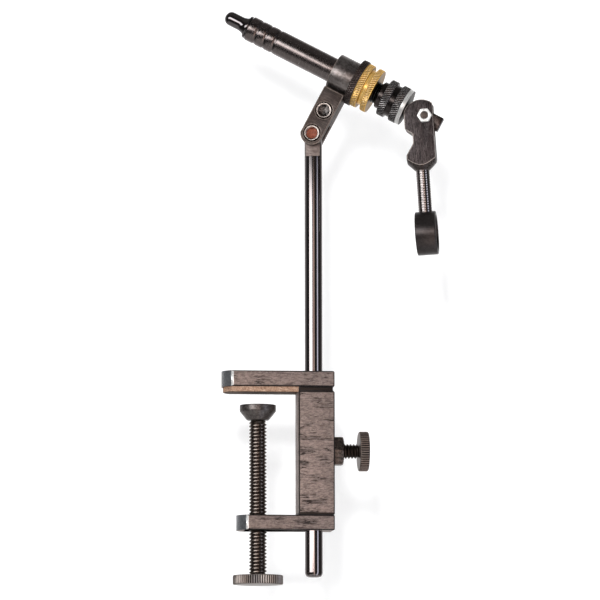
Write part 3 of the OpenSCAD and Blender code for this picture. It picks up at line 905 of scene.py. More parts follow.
@dataclass
class TableClamp:
    """The three clamp bars, the leather pad, and the two screws with their knobs."""

    shop: Workshop
    edge: float = 0.6
    corner_w: float = 0.95
    bar_d: float = 19.0
    nose_r: float = 11.7
    upper_over: float = 19.6
    lower_over: float = 11.6
    screw: Thread = Thread(4.7, 0.95, 1.86, 0.12)
    foot_gap: float = 6.5
    foot_d: float = 19.4
    foot_rim_h: float = 3.4
    foot_cone_h: float = 4.8
    foot_neck_d: float = 11.6
    tip_d: float = 6.0
    knob_top: float = -97.5
    knob_d: float = 26.9
    knob_h: float = 5.0
    knob_knurl: Knurl = Knurl(64, 0.0, 0.42)
    lock_x: float = 34.9
    lock_z: float = -31.0
    lock_thread: Thread = Thread(3.9, 0.85, 1.7, 0.12)
    lock_knob_x: float = 54.2
    lock_knob_d: float = 21.3
    lock_knob_t: float = 5.0
    lock_knurl: Knurl = Knurl(52, 0.0, 0.38)
    # painted shadow bands on the column, as height and half width: under the upper bar's overhang and
    # at the lower arm
    joint_shadows: tuple[tuple[float, float], ...] = ((1.7, 1.0), (-65.0, 0.7))
    no_nose: float = -99.0
    corner_reach: float = 0.3
    nose_reach: float = 0.1
    highlight_reach: float = 1.4
    highlight_slant: tuple[float, float] = (0.02, 0.45)
    under_slant: float = 0.6
    pad_round: float = 0.25
    nut_round: float = 0.3
    foot_round: float = 0.5
    tip_round: float = 0.4
    clear: float = 0.06
    face_gap: float = 0.1

    def build(self) -> None:
        """Makes every piece of the clamp."""
        self.bars()
        self.pad()
        self.clamp_screw()
        self.lock_screw()

    def bars(self) -> None:
        """Eases the edges of the three bars, polishes the rounded ends and paints a highlight strip
        where each end turns from the sides.
        """
        common = {"base": "928079", "dark": "3f3431", "light": "bfaea6", "metallic": 0.6,
                  "rough": 0.46, "rough_spread": 0.22, "grain_scale": 2300.0, "grain_share": 0.45,
                  "blotch_scale": 260.0, "blotch_share": 0.35, "bump": 0.6, "bump_depth": 0.08}
        along = ScratchedSteel("browned_bar", grain=Grain.ALONG_X, **common).build()
        shadowed_column = ScratchedSteel("browned_column", grain=Grain.ALONG_X, joint_shadows=self.joint_shadows,
                                **common).build()
        # Near-black on the bars' eased edges: painted shade along every edge.
        edge = Finish("bar_edge_painted_shade", "171211", "0d0a09", "3a322f", metallic=0.2, rough=0.6,
                      blotch_scale=420.0, grain_scale=1500.0, grain_share=0.3).build()
        end = Finish("bar_end_polished", "77797d", "4a4c50", "a9abad", metallic=0.65, rough=0.22,
                     grain=Grain.ALONG_X, grain_share=0.3).build()
        # Near-white on the faces where a rounded end turns from the sides: a painted highlight.
        bright = Finish("bar_corner_painted_highlight", "f0efed", "c9c7c5", "ffffff", metallic=0.5,
                        rough=0.25).build()
        bars = [("upper_jaw", "upper_bar", along, -self.upper_over),
                ("clamp_column", "column_bar", shadowed_column, self.no_nose),
                ("lower_arm", "lower_bar", along, -self.lower_over)]
        setback = self.nose_r - math.sqrt(self.nose_r ** 2 - (self.bar_d / 2) ** 2)
        least, most = self.highlight_slant
        for node, name, main, tip in bars:
            corner = tip + setback
            part = Part(name, "clamp", "clamp_steel", [main, edge, end, bright], node)
            piece = self.shop.eased(part, self.edge, broad=self.corner_w, shortest=1.0,
                                    worn=lambda spot, at=corner: (
                                        abs(spot.x - at) < self.corner_reach))
            self.shop.repaint(piece, 2, lambda spot, normal, at=corner: (
                spot.x < at - self.nose_reach and abs(normal.z) < UPRIGHT))
            # Painted highlight strip beside each corner, on faces slanted toward the light.
            self.shop.repaint(piece, 3, lambda spot, normal, at=corner: (
                abs(spot.x - at) < self.corner_w * self.highlight_reach
                and abs(normal.z) < UPRIGHT and least < -normal.x < most))

    def pad(self) -> None:
        """Roughens the leather pad a little along its edges and paints shade on its underside."""
        finish = PressedLeather("tan_leather", "b08f79", "6b4d3a", "e0c4ad", metallic=0.0,
                                rough=0.8, rough_spread=0.2, bump=0.8, bump_depth=0.14).build()
        # Darker leather on faces turned down: painted shade on the underside.
        under = PressedLeather("leather_underside_painted_shade", "5a4332", "33241b", "7d6450", rough=0.75,
                               metallic=0.0, bump=0.5, bump_depth=0.1).build()
        part = Part("leather_pad", "clamp", "cork_pad", [finish, finish, under], "jaw_pad")
        piece = self.shop.eased(part, self.pad_round, 2)
        self.shop.repaint(piece, 2, lambda spot, normal: normal.z < -self.under_slant)

    def clamp_screw(self) -> None:
        """Makes the foot, the long thread and the knob."""
        dark = Finish("phosphate_dark", "575250", "33302f", "8b8481", metallic=0.8, rough=0.34,
                      rough_spread=0.2, blotch_scale=300.0, speck_share=0.25, bump=0.2).build()
        rim = -self.foot_gap
        seat = rim - self.foot_rim_h
        low = seat - self.foot_cone_h
        bore = self.tip_d / 2 + self.clear
        rings = [Ring(seat, 0)] + rounded([(seat, bore), (low, bore), (low, self.foot_neck_d / 2),
                                           (seat, self.foot_d / 2), (rim, self.foot_d / 2),
                                           (rim, 0)], self.foot_round)
        part = Part("coned_foot", "foot", "phosphate_steel", [dark], "pressure_foot")
        self.shop.place(part, turned(rings), upright(0))
        oiled = Finish("oiled_thread", "79706a", "57504b", "9b928a", metallic=0.95, rough=0.24,
                       blotch_scale=500.0, speck_share=0.15, grain_share=0.2, bump=0.1,
                       groove_shade="1d1917", crest_highlight="cfc6be").build()
        start = low - self.face_gap
        part = Part("clamp_thread", "clamp_screw_body", "phosphate_steel", [oiled], "clamp_screw")
        self.shop.threaded(part, start - self.knob_top, self.screw, upright(0, self.knob_top))
        reach = self.foot_cone_h - self.face_gap
        tip = rounded([(0, 0), (0, self.tip_d / 2), (reach, self.tip_d / 2), (reach, 0)],
                      self.tip_round)
        self.shop.place(Part("clamp_tip", "clamp_screw_body", "phosphate_steel", [oiled]),
                        turned(tip, FINE_SIDES // 2), upright(0, start), SMALL_CREASE)
        steel = Finish("knob_steel", "857b76", "5a534f", "a89e98", metallic=0.8, rough=0.38,
                       blotch_scale=260.0, speck_share=0.2, bump=0.2,
                       groove_shade="2c2725", crest_highlight="cfc5be").build()
        part = Part("clamp_thumbwheel", "clamp_screw_body", "knob_steel", [steel], "clamp_knob")
        self.shop.thumbwheel(part, self.knob_h, self.knob_d, self.knob_knurl,
                             upright(0, self.knob_top, True))

    def lock_screw(self) -> None:
        """Makes the lock nut, its thread and its knob."""
        dark = Finish("lock_nut_steel", "45403d", "292524", "9f8d84", metallic=0.9, rough=0.34,
                      blotch_scale=300.0, bump=0.2).build()
        worn = Finish("lock_nut_edge", "6f645e", "3c3633", "a8988f", rough=0.3).build()
        self.shop.eased(Part("hex_lock_nut", "clamp", "phosphate_steel", [dark, worn], "lock_nut"),
                        self.nut_round)
        oiled = Finish("lock_thread_black", "5b524c", "3a3430", "776c64", metallic=0.95,
                       rough=0.32, speck_share=0.1, grain_share=0.2, bump=0.1,
                       groove_shade="0d0b09", crest_highlight="9c8e83").build()
        part = Part("lock_thread", "lock_screw_body", "phosphate_steel", [oiled], "lock_screw")
        place = Matrix.Translation(Vector((self.lock_x, 0, self.lock_z)) * MM)
        self.shop.threaded(part, self.lock_knob_x - self.lock_x, self.lock_thread, place)
        steel = Finish("lock_knob_steel", "6d615b", "463d3a", "9a8c85", metallic=0.8, rough=0.4,
                       blotch_scale=260.0, speck_share=0.2, bump=0.2,
                       groove_shade="231e1c", crest_highlight="a99b93").build()
        part = Part("lock_thumbwheel", "lock_screw_body", "knob_steel", [steel], "lock_knob")
        place = Matrix.Translation(Vector((self.lock_knob_x, 0, self.lock_z)) * MM)
        self.shop.thumbwheel(part, self.lock_knob_t, self.lock_knob_d, self.lock_knurl, place)


@dataclass
class PostAndKnuckle:
    """The polished post, the knuckle's two cheeks with their screws, and the sleeve."""

    shop: Workshop
    head: HeadFrame
    reach: float = 30.0
    post_d: float = 9.525
    spacing: float = 13.8
    head_d: float = 9.2
    head_h: float = 3.1
    shank_d: float = 5.0
    socket_af: float = 5.6
    head_y: float = -7.66
    head_round: float = 0.8
    socket_round: float = 0.6
    socket_lip: float = 0.45
    socket_ease: float = 0.5
    socket_floor: float = 0.9
    socket_cone: float = 0.7
    through: float = 14.92
    post_round: float = 0.2
    post_end_round: float = 1.3
    post_low: float = -90.0
    post_high: float = 60.0
    cheek_round: float = 0.45
    sleeve_round: float = 0.3
    lug_z: float = -10.4
    flat_inset: float = 0.15
    socket_start: float = 0.3
    socket_spread: float = 1.16

    def build(self) -> None:
        """Makes the post, the cheeks, the screws and the sleeve."""
        chrome = Finish("black_chrome", "9a9393", "8b8484", "aaa3a3", rough=0.09,
                        rough_spread=0.05, blotch_scale=60.0, blotch_share=0.4, grain_share=0.1,
                        bump=0.02).build()
        edge = Finish("post_edge", "4a4341", "2c2725", "7d706b", rough=0.3).build()
        flat = ScratchedSteel("post_flat", "7d6f6a", "4b413e", "a39690", metallic=0.6, rough=0.45,
                              grain=Grain.ALONG_X, blotch_share=0.3, score_share=0.2).build()
        part = Part("round_post", "post_body", "post_chrome", [chrome, edge, flat], "post")
        piece = self.shop.eased(part, self.post_round, 4, broad=self.post_end_round,
                                worn=lambda spot: spot.z < self.post_low)
        self.shop.repaint(piece, 0, lambda spot, normal: spot.z < self.post_low)
        inside = self.post_d / 2 - self.flat_inset
        self.shop.repaint(piece, 2, lambda spot, normal: (
            spot.z > self.post_high and abs(normal.z) < UPRIGHT
            and math.hypot(spot.x - self.reach, spot.y) < inside))
        pivot = self.head.pivot()
        plate = ScratchedSteel("cheek_steel", "3d3634", "221e1c", "6c605b", metallic=0.8,
                               rough=0.4, rough_spread=0.2, grain=Grain.ALONG_X,
                               grain_scale=1700.0, grain_share=0.4, blotch_scale=200.0,
                               blotch_share=0.4, bump=0.3, bump_depth=0.05, score_share=0.25,
                               pit_share=0.25).build(pivot)
        worn = Finish("cheek_edge", "74675f", "4d423b", "b3a49b", metallic=0.4,
                      rough=0.32).build(pivot)
        side = Finish("cheek_side", "4e4440", "2f2826", "8b7a72", metallic=0.5, rough=0.5,
                      grain=Grain.ALONG_Z).build(pivot)
        for node, name in {"front_cheek": "near_cheek", "rear_cheek": "far_cheek"}.items():
            part = Part(name, "knuckle", "knuckle_steel", [plate, worn, side], node)
            piece = self.shop.eased(part, self.cheek_round)
            self.shop.repaint(piece, 2, lambda spot, normal: abs(normal.x) > SQUARE, pivot)
        self.screws(pivot)
        sleeve = Finish("sleeve_mottled", "857e7c", "484342", "b8b2b0", metallic=0.95, rough=0.36,
                        rough_spread=0.2, grain_scale=700.0, grain_share=0.45,
                        blotch_scale=110.0, blotch_share=0.7, speck_share=0.4,
                        bump=0.25).build(self.head.barrel())
        part = Part("sleeve_ring", "knuckle", "sleeve_steel", [sleeve, worn, side],
                    "barrel_sleeve")
        piece = self.shop.eased(part, self.sleeve_round)
        self.shop.repaint(piece, 2, lambda spot, normal: spot.z < self.lug_z, self.head.barrel())

    def screws(self, pivot: Matrix) -> None:
        """Makes the two socket head screws, one with rust in its socket."""
        bright = Finish("screw_rim", "9c938e", "635b58", "d9d1cb", rough=0.24, blotch_scale=500.0,
                        blotch_share=0.35, speck_share=0.3,
                        bump=0.2).build(pivot)
        rust = Finish("rusted_socket", "8c4a33", "40201a", "b3705a", metallic=0.35, rough=0.5,
                      blotch_scale=700.0, bump=0.5).build(pivot)
        # The upper screw's socket is darker than its rim.
        socket_dark = Finish("dark_socket", "3a3635", "191717", "8d8a88", rough=0.28).build(pivot)
        r, socket = self.head_d / 2, self.socket_af / 2
        rim = socket + self.socket_lip
        floor = self.head_h - self.socket_floor
        points = [(self.through, 0), (self.through, self.shank_d / 2),
                  (self.head_h, self.shank_d / 2), (self.head_h, r), (0.0, r), (0.0, rim),
                  (self.socket_ease, socket), (floor, socket), (floor + self.socket_cone, 0)]
        rings = rounded(points[:5], self.head_round)[:-1]
        rings += rounded(points[3:7], self.socket_round)[ROUND_STEPS + 1:-1]
        start = len(rings)
        rings += [Ring(x, y) for x, y in points[6:]]

        def hexagon(i: int, angle: float) -> float:
            """Turns the socket's rings into hexagons."""
            if i < start or i == start + 2:
                return 1.0
            return 1 / math.cos((angle + math.pi / 6) % (math.pi / 3) - math.pi / 6)

        for name, node, z, inner, slot in (
                ("pivot_cap_screw", "pivot_screw", 0.0, rust, "copper_screw"),
                ("upper_cap_screw", "cheek_screw", self.spacing, socket_dark, "socket_screw")):
            place = pivot @ Matrix.Translation(Vector((0, self.head_y, z)) * MM)
            place = place @ Matrix.Rotation(math.radians(90), 4, "Z")
            piece = self.shop.place(Part(name, "knuckle", slot, [bright, inner], node),
                                    turned(rings, shape=hexagon), place)
            self.shop.repaint(piece, 1, lambda spot, normal: (
                self.socket_start < spot.x < self.head_h
                and math.hypot(spot.y, spot.z) < socket * self.socket_spread), place)


@dataclass
class Barrel:
    """The grooved barrel, its knurled rings and nuts, the washer and the collet."""

    shop: Workshop
    head: HeadFrame
    barrel_d: float = 13.6
    front: float = 58.0
    sleeve_end: float = 6.15
    journal_d: float = 11.9
    rear: float = 32.75
    draw_d: float = 5.0
    socket_d: float = 9.2
    socket_l: float = 14.6
    groove_step: float = 5.5
    groove_w: float = 2.6
    groove_in: float = 0.36
    grooves: int = 3
    ring_x: float = 6.25
    ring_w: float = 3.6
    ring_d: float = 26.0
    brass_x: float = 9.95
    brass_d: float = 24.9
    brass_flange: float = 3.3
    brass_groove: float = 2.5
    brass_groove_d: float = 20.0
    collar_x: float = 21.85
    collar_d: float = 20.7
    collar_step: float = 3.0
    collar_step_d: float = 15.0
    collar_band: float = 4.1
    collar_groove: float = 3.0
    collar_groove_d: float = 17.8
    collar_wall: float = 1.7
    washer_x: float = 36.05
    washer_t: float = 2.3
    washer_d: float = 20.2
    washer_play: float = 0.3
    washer_round: float = 0.25
    ring_knurl: Knurl = Knurl(60, 440.0, 0.33, 0.6)
    brass_knurl: Knurl = Knurl(60, 500.0, 0.38, 0.2)
    collar_knurl: Knurl = Knurl(48, 480.0, 0.4, 0.15)
    thread: Thread = Thread(5.95, 0.5, 1.27, 0.15, 6, 64)
    mouth_l: float = 2.3
    mouth_r: float = 5.6
    nose_l: float = 2.4
    nose_round: float = 0.5
    step_round: float = 0.35
    groove_steps: int = 8
    step_reach: float = 3.0
    ring_rows: int = 11
    brass_rows: int = 10
    brass_ease: float = 0.3
    brass_flank: float = 0.95
    collar_ease: float = 0.2
    collar_chamfer: float = 0.4
    collar_smooth: float = 0.25
    collet_round: float = 0.12
    bar_round: float = 0.3
    clear: float = 0.06
    face_gap: float = 0.1

    def build(self) -> None:
        """Makes every piece on the barrel's axis."""
        place = self.head.barrel()
        self.tube(place)
        self.drag_ring(place)
        self.brass_nut(place)
        self.collar(place)
        self.washer(place)
        self.collet(place)

    def tube(self, place: Matrix) -> None:
        """Turns the barrel with its grooves, and cuts the thread behind the brass nut."""
        metal = Finish("gunmetal", "7e7675", "676161", "968d8c", rough=0.25,
                       rough_spread=0.08, grain=Grain.TURNED, grain_scale=1600.0,
                       grain_share=0.35, blotch_scale=160.0, blotch_share=0.4, speck_share=0.1,
                       bump=0.08).build(place)
        r, start = self.barrel_d / 2, -self.front
        bore, socket = self.draw_d / 2 + self.clear, self.socket_d / 2
        rings = [Ring(start + self.mouth_l, socket), Ring(start, self.mouth_r)]
        rings += rounded([(start, self.mouth_r), (start, r), (start + self.nose_l, r)],
                         self.nose_round)[1:-1]
        steps = self.groove_steps
        for i in range(1, self.grooves + 1):
            mid = start + i * self.groove_step
            for k in range(-steps // 2, steps // 2 + 1):
                dip = self.groove_in * math.cos(math.pi / steps * k) ** 2
                rings.append(Ring(mid + self.groove_w / steps * k, r - dip))
        end = -self.sleeve_end - self.face_gap
        rings += rounded([(end - self.step_reach, r), (end, r), (end, self.journal_d / 2),
                          (end + self.step_reach, self.journal_d / 2)], self.step_round)
        thread_x = self.brass_x
        rings += [Ring(thread_x, self.journal_d / 2), Ring(thread_x, bore),
                  Ring(start + self.socket_l, bore), Ring(start + self.socket_l, socket)]
        part = Part("grooved_barrel", "barrel", "gunmetal", [metal], "barrel_tube")
        self.shop.place(part, turned(rings, BARREL_SIDES, True), place)
        black = Finish("thread_black", "242628", "121314", "5a6066", rough=0.25,
                       bump=0.1).build(place)
        along = place @ Matrix.Translation((thread_x * MM, 0, 0))
        self.shop.threaded(Part("barrel_thread", "barrel", "gunmetal", [black]),
                           self.rear - thread_x, self.thread, along)

    def drag_ring(self, place: Matrix) -> None:
        """Knurls the black ring beside the sleeve."""
        black = Finish("ring_black_oxide", "4e4442", "302928", "8d817b", metallic=0.9, rough=0.36,
                       rough_spread=0.2, blotch_scale=300.0, speck_scale=1300.0,
                       speck_share=0.3, bump=0.2, groove_shade="120e0d", crest_highlight="75696a").build(place)
        x0, x1, bore = self.ring_x, self.ring_x + self.ring_w, self.journal_d / 2
        band = knurl_band(x0, x1, self.ring_d / 2, self.ring_rows)
        part = Part("knurled_drag_ring", "barrel", "black_knurl", [black], "drag_ring")
        self.shop.knurled(part, [Ring(x0, bore), *band, Ring(x1, bore)], self.ring_knurl, place)

    def brass_nut(self, place: Matrix) -> None:
        """Knurls the two flanges of the brass nut and paints shade on its flat faces."""
        brass = Finish("brass", "f6bf5a", "c08532", "fff0bd", metallic=0.5, rough=0.27,
                       rough_spread=0.12, grain=Grain.TURNED, grain_scale=1400.0,
                       grain_share=0.3, blotch_scale=240.0, blotch_share=0.4,
                       bump=0.1, groove_shade="4f330f", crest_highlight="fffbe6").build(place)
        # Darker bronze on the faces across the axis: painted shade.
        back = Finish("brass_painted_shade", "8a6733", "5a3f1a", "c09a58", metallic=0.9, rough=0.35,
                      grain=Grain.TURNED, bump=0.1).build(place)
        x0, bore = self.brass_x, self.journal_d / 2 + self.clear
        bands = waisted(x0, self.brass_d / 2, self.brass_flange, self.brass_groove,
                        self.brass_groove_d / 2, self.brass_ease, self.brass_rows)
        part = Part("knurled_brass_nut", "brass_nut_body", "brass", [brass, back], "brass_nut")
        nut = self.shop.knurled(part, [Ring(x0, bore), *bands, Ring(bands[-1].x, bore)],
                                self.brass_knurl, place)
        self.shop.repaint(nut, 1, lambda spot, normal: abs(normal.x) > self.brass_flank, place)

    def collar(self, place: Matrix) -> None:
        """Knurls the black adjusting collar."""
        black = Finish("collar_black", "4e4847", "322e2e", "8f8884", metallic=0.7, rough=0.27,
                       rough_spread=0.12, blotch_scale=300.0, grain_share=0.12,
                       speck_share=0.15, bump=0.12, groove_shade="0a0909", crest_highlight="ffffff").build(place)
        smooth = Finish("collar_smooth", "4c4746", "2e2b2a", "7b7573", rough=0.24,
                        grain=Grain.TURNED, grain_share=0.2, bump=0.08).build(place)
        x0 = self.collar_x
        x1 = x0 + self.collar_step
        step, neck, bore = self.collar_step_d / 2, self.collar_groove_d / 2, self.journal_d / 2
        bands = waisted(x1, self.collar_d / 2, self.collar_band, self.collar_groove, neck,
                        self.collar_ease, self.ring_rows)
        end, inner = bands[-1].x, self.draw_d / 2 + self.washer_play
        wall = end - self.collar_wall
        rings = [Ring(x0, bore + self.clear), Ring(x0, step - self.collar_chamfer),
                 Ring(x0 + self.collar_chamfer, step), Ring(x1, step), *bands,
                 Ring(end, inner), Ring(wall, inner), Ring(wall, bore + self.clear)]
        part = Part("knurled_collar", "collar", "black_knurl", [black, smooth], "adjust_collar")
        collar = self.shop.knurled(part, rings, self.collar_knurl, place)
        self.shop.repaint(collar, 1, lambda spot, normal: (
            math.hypot(spot.y, spot.z) < neck + self.collar_smooth
            or abs(normal.x) > SQUARE), place)

    def washer(self, place: Matrix) -> None:
        """Turns the bright washer that the cam bears on, with painted shadow on its flat faces."""
        bright = Finish("bright_washer", "d3d2d0", "a8a6a3", "f2f1ee", metallic=0.6, rough=0.3,
                        grain=Grain.TURNED, grain_scale=1500.0, grain_share=0.4,
                        bump=0.15).build(place)
        x0, x1, r = self.washer_x, self.washer_x + self.washer_t, self.washer_d / 2
        bore = self.draw_d / 2 + self.washer_play
        rings = rounded([(x0, bore), (x0, r), (x1, r), (x1, bore)], self.washer_round)
        # Dark steel on the washer's flat faces: painted shadow of the lever.
        washer_shade = Finish("washer_painted_shadow", "3d3836", "262221", "6e6662", metallic=0.9, rough=0.4,
                        grain=Grain.TURNED, bump=0.1).build(place)
        part = Part("cam_washer_bright", "washer", "bright_steel", [bright, washer_shade], "cam_washer")
        washer = self.shop.place(part, turned(rings, loop=True), place)
        self.shop.repaint(washer, 1, lambda spot, normal: abs(normal.x) > SQUARE, place)

    def collet(self, place: Matrix) -> None:
        """Eases the collet's halves and the draw bar."""
        gloss = Finish("gloss_black", "7a7678", "666264", "8a8688", rough=0.09,
                       rough_spread=0.05, grain_share=0.15, blotch_share=0.3,
                       bump=0.03).build(place)
        for side in ("near", "far"):
            part = Part(side + "_collet_half", side + "_jaw_body", "gloss_black", [gloss, gloss],
                        side + "_jaw")
            self.shop.eased(part, self.collet_round, 2, 40.0)
        dark = Finish("draw_bar_steel", "45403f", "2b2727", "7e7572", rough=0.32).build(place)
        self.shop.eased(Part("flat_draw_bar", "draw", "lever_steel", [dark, dark], "draw_bar"),
                        self.bar_round)


@dataclass
class CamLever:
    """The forked lever block, its axle and nut, the ribbed rod and the finger ring."""

    shop: Workshop
    head: HeadFrame
    rod_x: float = -3.4
    block_l: float = 24.9
    shoulder_h: float = 4.0
    rod_l: float = 22.0
    rod_sunk: float = 1.2
    rod_in_block: float = 2.0
    ribs: Thread = Thread(3.7, 0.1, 1.3, 0.2, 8, 40)
    finger_d: float = 23.5
    finger_w: float = 11.2
    finger_wall: float = 2.1
    finger_round: float = 0.8
    ease: float = 0.4
    cone_slant: float = 0.2

    def build(self) -> None:
        """Makes the lever's pieces."""
        place = self.head.lever()
        block = ScratchedSteel("lever_brushed", "221e1e", "151212", "7f7576", metallic=0.8,
                               rough=0.4, rough_spread=0.2, grain=Grain.ALONG_Z,
                               grain_scale=2300.0, grain_share=0.5, grain_bend=1.6,
                               blotch_scale=300.0, blotch_share=0.35, bump=0.7,
                               bump_depth=0.07, score_share=0.5, pit_share=0.3,
                               nick_share=0.35).build(place)
        worn = Finish("lever_edge", "958a84", "5a504b", "dcd2cc", metallic=0.4,
                      rough=0.3).build(place)
        cone = Finish("lever_cone", "4a4443", "292524", "7d7472", rough=0.3,
                      bump=0.1).build(place)
        part = Part("forked_lever", "lever", "lever_steel", [block, worn, cone], "cam_lever")
        piece = self.shop.eased(part, self.ease)
        self.shop.repaint(piece, 2, lambda spot, normal: (
            spot.z < self.shoulder_h - self.block_l and abs(normal.z) > self.cone_slant), place)
        self.axle(place)
        self.rod(place)

    def axle(self, place: Matrix) -> None:
        """Eases the axle bolt and its bright nut."""
        dark = Finish("axle_steel", "3f3633", "251f1e", "7a6a62", metallic=0.5,
                      rough=0.45).build(place)
        bright = Finish("bright_nut", "e6e5e3", "c9c7c4", "f7f6f4", metallic=0.35, rough=0.28,
                        grain_share=0.3, bump=0.1).build(place)
        for name, slot, metal, node in (("axle_pin", "lever_steel", dark, "axle_bolt"),
                                        ("axle_hex_nut", "bright_nickel", bright, "axle_nut")):
            self.shop.eased(Part(name, "lever", slot, [metal, metal], node), self.ease)

    def rod(self, place: Matrix) -> None:
        """Ribs the rod and turns the finger ring."""
        black = Finish("rod_gloss", "b4adac", "9c9594", "c8c1c0", rough=0.13,
                       grain_share=0.1, bump=0.03, groove_shade="2e2a2a",
                       crest_highlight="e4dddb").build(place)
        top = -self.block_l - self.shoulder_h
        start = top - self.rod_l - self.rod_sunk
        part = Part("ribbed_rod", "lever", "rod_black", [black], "lever_rod")
        self.shop.threaded(part, top - start + self.rod_in_block, self.ribs,
                           place @ upright(self.rod_x, start))
        satin = Finish("ring_satin_black", "4a4646", "322f2f", "686262", metallic=0.9,
                       rough=0.33, rough_spread=0.12, grain_share=0.25, blotch_scale=120.0,
                       bump=0.1).build(place)
        half, r = self.finger_w / 2, self.finger_d / 2
        bore = r - self.finger_wall
        points = [(0, bore), (-half, bore), (-half, r), (half, r), (half, bore), (0, bore)]
        rings = rounded(points, self.finger_round)[:-1]
        middle = Matrix.Translation(Vector((self.rod_x, 0, top - self.rod_l - r)) * MM)
        self.shop.place(Part("finger_loop", "lever", "ring_black", [satin], "finger_ring"),
                        turned(rings, loop=True), place @ middle, SMALL_CREASE)


# ---------------------------------------------------------------- the studio


@dataclass(frozen=True)
class Lamp:
    """A square area lamp: its place and side in metres, and its power in watts."""

    spot: tuple[float, float, float]
    side: float
    power: float


@dataclass(frozen=True)
class Softbox:
    """A light patch of the world: its bearing, half width and soft edge in degrees, its colour."""

    middle: float
    half: float
    soft: float
    colour: Colour
    on_floor: bool = False


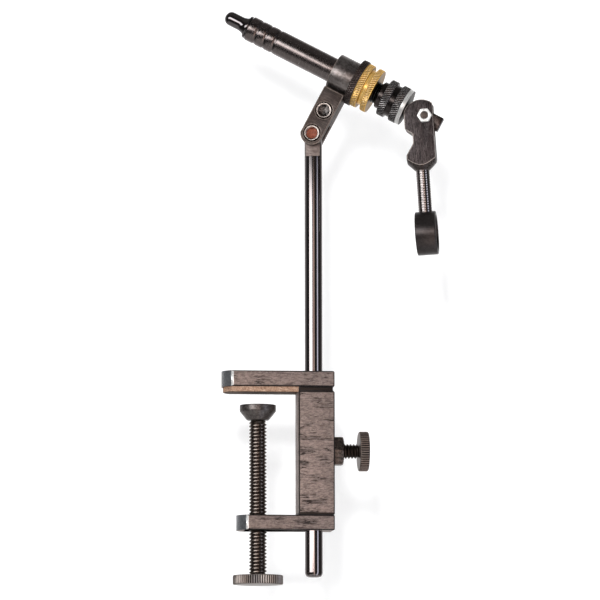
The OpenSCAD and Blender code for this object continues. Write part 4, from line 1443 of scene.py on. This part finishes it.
@dataclass
class Studio:
    """The pale floor and backdrop, the soft lamps, the world and the camera."""

    azimuth: float = -6.0
    elevation: float = -6.5
    distance: float = 2.5
    roll: float = -0.07
    target: tuple[float, float] = (0.02261, 0.05006)
    pixels: float = 1865.0
    picture: float = 600.0
    sensor: float = 36.0
    floor_z: float = -0.2
    wall_y: float = 0.085
    half_stage: float = 3.0
    stage_grey: Colour = (0.74, 0.74, 0.74)
    key: Lamp = Lamp((-0.27, -1.5, 0.38), 0.2, 14.4)
    fill: Lamp = Lamp((1.1, -1.1, 0.4), 0.9, 7.0)
    white: Colour = (1.0, 1.0, 1.0)
    room_grey: Colour = (0.62, 0.62, 0.63)
    front_room: Colour = (0.045, 0.043, 0.042)
    back_room: Colour = (0.9, 0.9, 0.9)
    ceiling: Colour = (0.13, 0.125, 0.12)
    ground: Colour = (0.5, 0.49, 0.48)
    lath: Colour = (4.6, 4.2, 4.0)
    softboxes: tuple[Softbox, ...] = (
        Softbox(-41.0, 17.0, 5.0, (4.6, 4.6, 4.6), True),
        Softbox(-1.0, 3.0, 6.0, (1.5, 1.15, 1.0)),
        Softbox(48.0, 5.0, 5.0, (1.5, 1.6, 1.9)))

    def build(self) -> None:
        """Makes the stage, the light and the camera."""
        self.stage()
        self.world()
        self.lamps()
        self.camera()

    def white_stage(self) -> bpy.types.Material:
        """A white surface that keeps shadows and lets the camera look through its back."""
        made = bpy.data.materials.new("stage_white")
        made.use_nodes = True
        graph = Graph(made.node_tree)
        matt = graph.out("ShaderNodeBsdfDiffuse", None, {"Color": self.stage_grey})
        spot = graph.out("ShaderNodeTexCoord", None, None, "Object") * (1.0, 0.0, 1.0)
        away = graph.out("ShaderNodeVectorMath", {"operation": "DISTANCE"}, {
            0: spot, 1: (0.035, 0.0, 0.06)}, "Value")
        far = graph.band(away, 0.1, 0.3)
        glow = graph.out("ShaderNodeEmission", None, {"Color": self.white,
                                                      "Strength": 0.3 + far * 0.2})
        seen, shiny = graph.rays("Camera", "Glossy")
        none = graph.out("ShaderNodeEmission", None, {"Strength": 0.0})
        share = (seen + shiny).clamped()
        extra = graph.out("ShaderNodeMixShader", None, {0: share, 1: none, 2: glow})
        front = graph.out("ShaderNodeAddShader", None, {0: matt, 1: extra})
        clear = graph.out("ShaderNodeBsdfTransparent")
        behind = graph.out("ShaderNodeNewGeometry", None, None, "Backfacing")
        whole = graph.out("ShaderNodeMixShader", None, {0: behind, 1: front, 2: clear})
        graph.node("ShaderNodeOutputMaterial", None, {"Surface": whole})
        return made

    def stage(self) -> None:
        """Lays the floor and stands the backdrop behind the vise."""
        white = self.white_stage()
        half, low, wall = self.half_stage, self.floor_z, self.wall_y
        corners = {
            "floor": [(-half, -half, low), (half, -half, low), (half, half, low),
                      (-half, half, low)],
            "backdrop": [(-half, wall, low - half), (half, wall, low - half),
                         (half, wall, half), (-half, wall, half)]}
        for name, points in corners.items():
            mesh = bpy.data.meshes.new(name)
            mesh.from_pydata(points, [], [(0, 1, 2, 3)])
            mesh.materials.append(white)
            obj = bpy.data.objects.new(name, mesh)
            obj.visible_glossy = False
            bpy.context.collection.objects.link(obj)

    def world(self) -> None:
        """White behind everything, and softboxes that only polished metal shows."""
        world = bpy.data.worlds.new("studio")
        bpy.context.scene.world = world
        world.use_nodes = True
        world.cycles.sampling_method = "NONE"
        graph = Graph(world.node_tree)
        seen, clear, shiny = graph.rays("Camera", "Transmission", "Glossy")
        ray = graph.out("ShaderNodeTexCoord", None, None, "Generated")
        x, y, z = (ray.axis(i) for i in range(3))
        turn = x.bearing(-y) * (360 / FULL_TURN)
        behind = graph.band(abs(turn), 95.0, 165.0)
        above, under = graph.band(z, 0.6, 0.95), graph.band(-z, 0.5, 0.7)
        room = graph.mix(behind, self.front_room, self.back_room)
        room = graph.mix(above, room, self.ceiling)
        room = graph.mix(under, room, self.ground)
        left = graph.band(-turn, 21.5, 25.0)
        low = graph.band(z + left * 0.1, -0.02, 0.06)
        high = graph.band(z, 0.34, 0.27)
        for box in self.softboxes:
            inside = graph.band(box.half + box.soft - abs(turn - box.middle), 0.0, box.soft)
            inside = inside * high * (low if box.on_floor else 1.0)
            room = graph.mix(inside, room, box.colour)
        lath = graph.band(abs(z), 0.09, 0.045) * graph.band(abs(turn + 22.0), 22.0, 12.0)
        room = graph.mix(lath, room, self.lath)
        plain = graph.mix(shiny, self.room_grey, room)
        shown = graph.mix((seen + clear).clamped(), plain, self.white)
        back = graph.out("ShaderNodeBackground", None, {"Color": shown, "Strength": 1.0})
        graph.node("ShaderNodeOutputWorld", None, {"Surface": back})

    def lamps(self) -> None:
        """Hangs a large soft key at the upper left and a weaker fill at the right."""
        middle = Vector((0.03, 0, 0.05))
        for name, lamp in {"key": self.key, "fill": self.fill}.items():
            data = bpy.data.lights.new(name, "AREA")
            data.shape = "SQUARE"
            data.size = lamp.side
            data.energy = lamp.power
            obj = bpy.data.objects.new(name, data)
            obj.location = lamp.spot
            obj.rotation_euler = (middle - Vector(lamp.spot)).to_track_quat("-Z", "Y").to_euler()
            obj.visible_glossy = False
            bpy.context.collection.objects.link(obj)

    def camera(self) -> None:
        """Sets the camera at the photograph's angle."""
        a, e = math.radians(self.azimuth), math.radians(self.elevation)
        back = Vector((math.sin(a) * math.cos(e), -math.cos(a) * math.cos(e), math.sin(e)))
        right = Vector((math.cos(a), math.sin(a), 0))
        data = bpy.data.cameras.new("camera")
        data.sensor_width = self.sensor
        data.lens = self.pixels * self.distance / self.picture * self.sensor
        data.clip_end = 20.0
        cam = bpy.data.objects.new("camera", data)
        x, z = self.target
        cam.location = right * x + Vector((0, 0, z)) + back * self.distance
        turn = (-back).to_track_quat("-Z", "Y").to_matrix().to_4x4()
        cam.rotation_euler = (turn @ Matrix.Rotation(math.radians(self.roll), 4, "Z")).to_euler()
        bpy.context.collection.objects.link(cam)
        bpy.context.scene.camera = cam


def write_sizes() -> None:
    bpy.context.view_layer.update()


def main() -> None:
    """Builds the vise and the studio in order, and reports each piece."""
    logging.basicConfig(level=logging.INFO, format="%(name)s: %(message)s")
    bpy.context.scene.view_settings.view_transform = "Standard"
    shop = Workshop()
    head = HeadFrame()
    TableClamp(shop).build()
    PostAndKnuckle(shop, head).build()
    Barrel(shop, head).build()
    CamLever(shop, head).build()
    Studio().build()
    log.info("%d pieces made", len(shop.pieces))
    write_sizes()


if __name__ == "__main__":
    main()
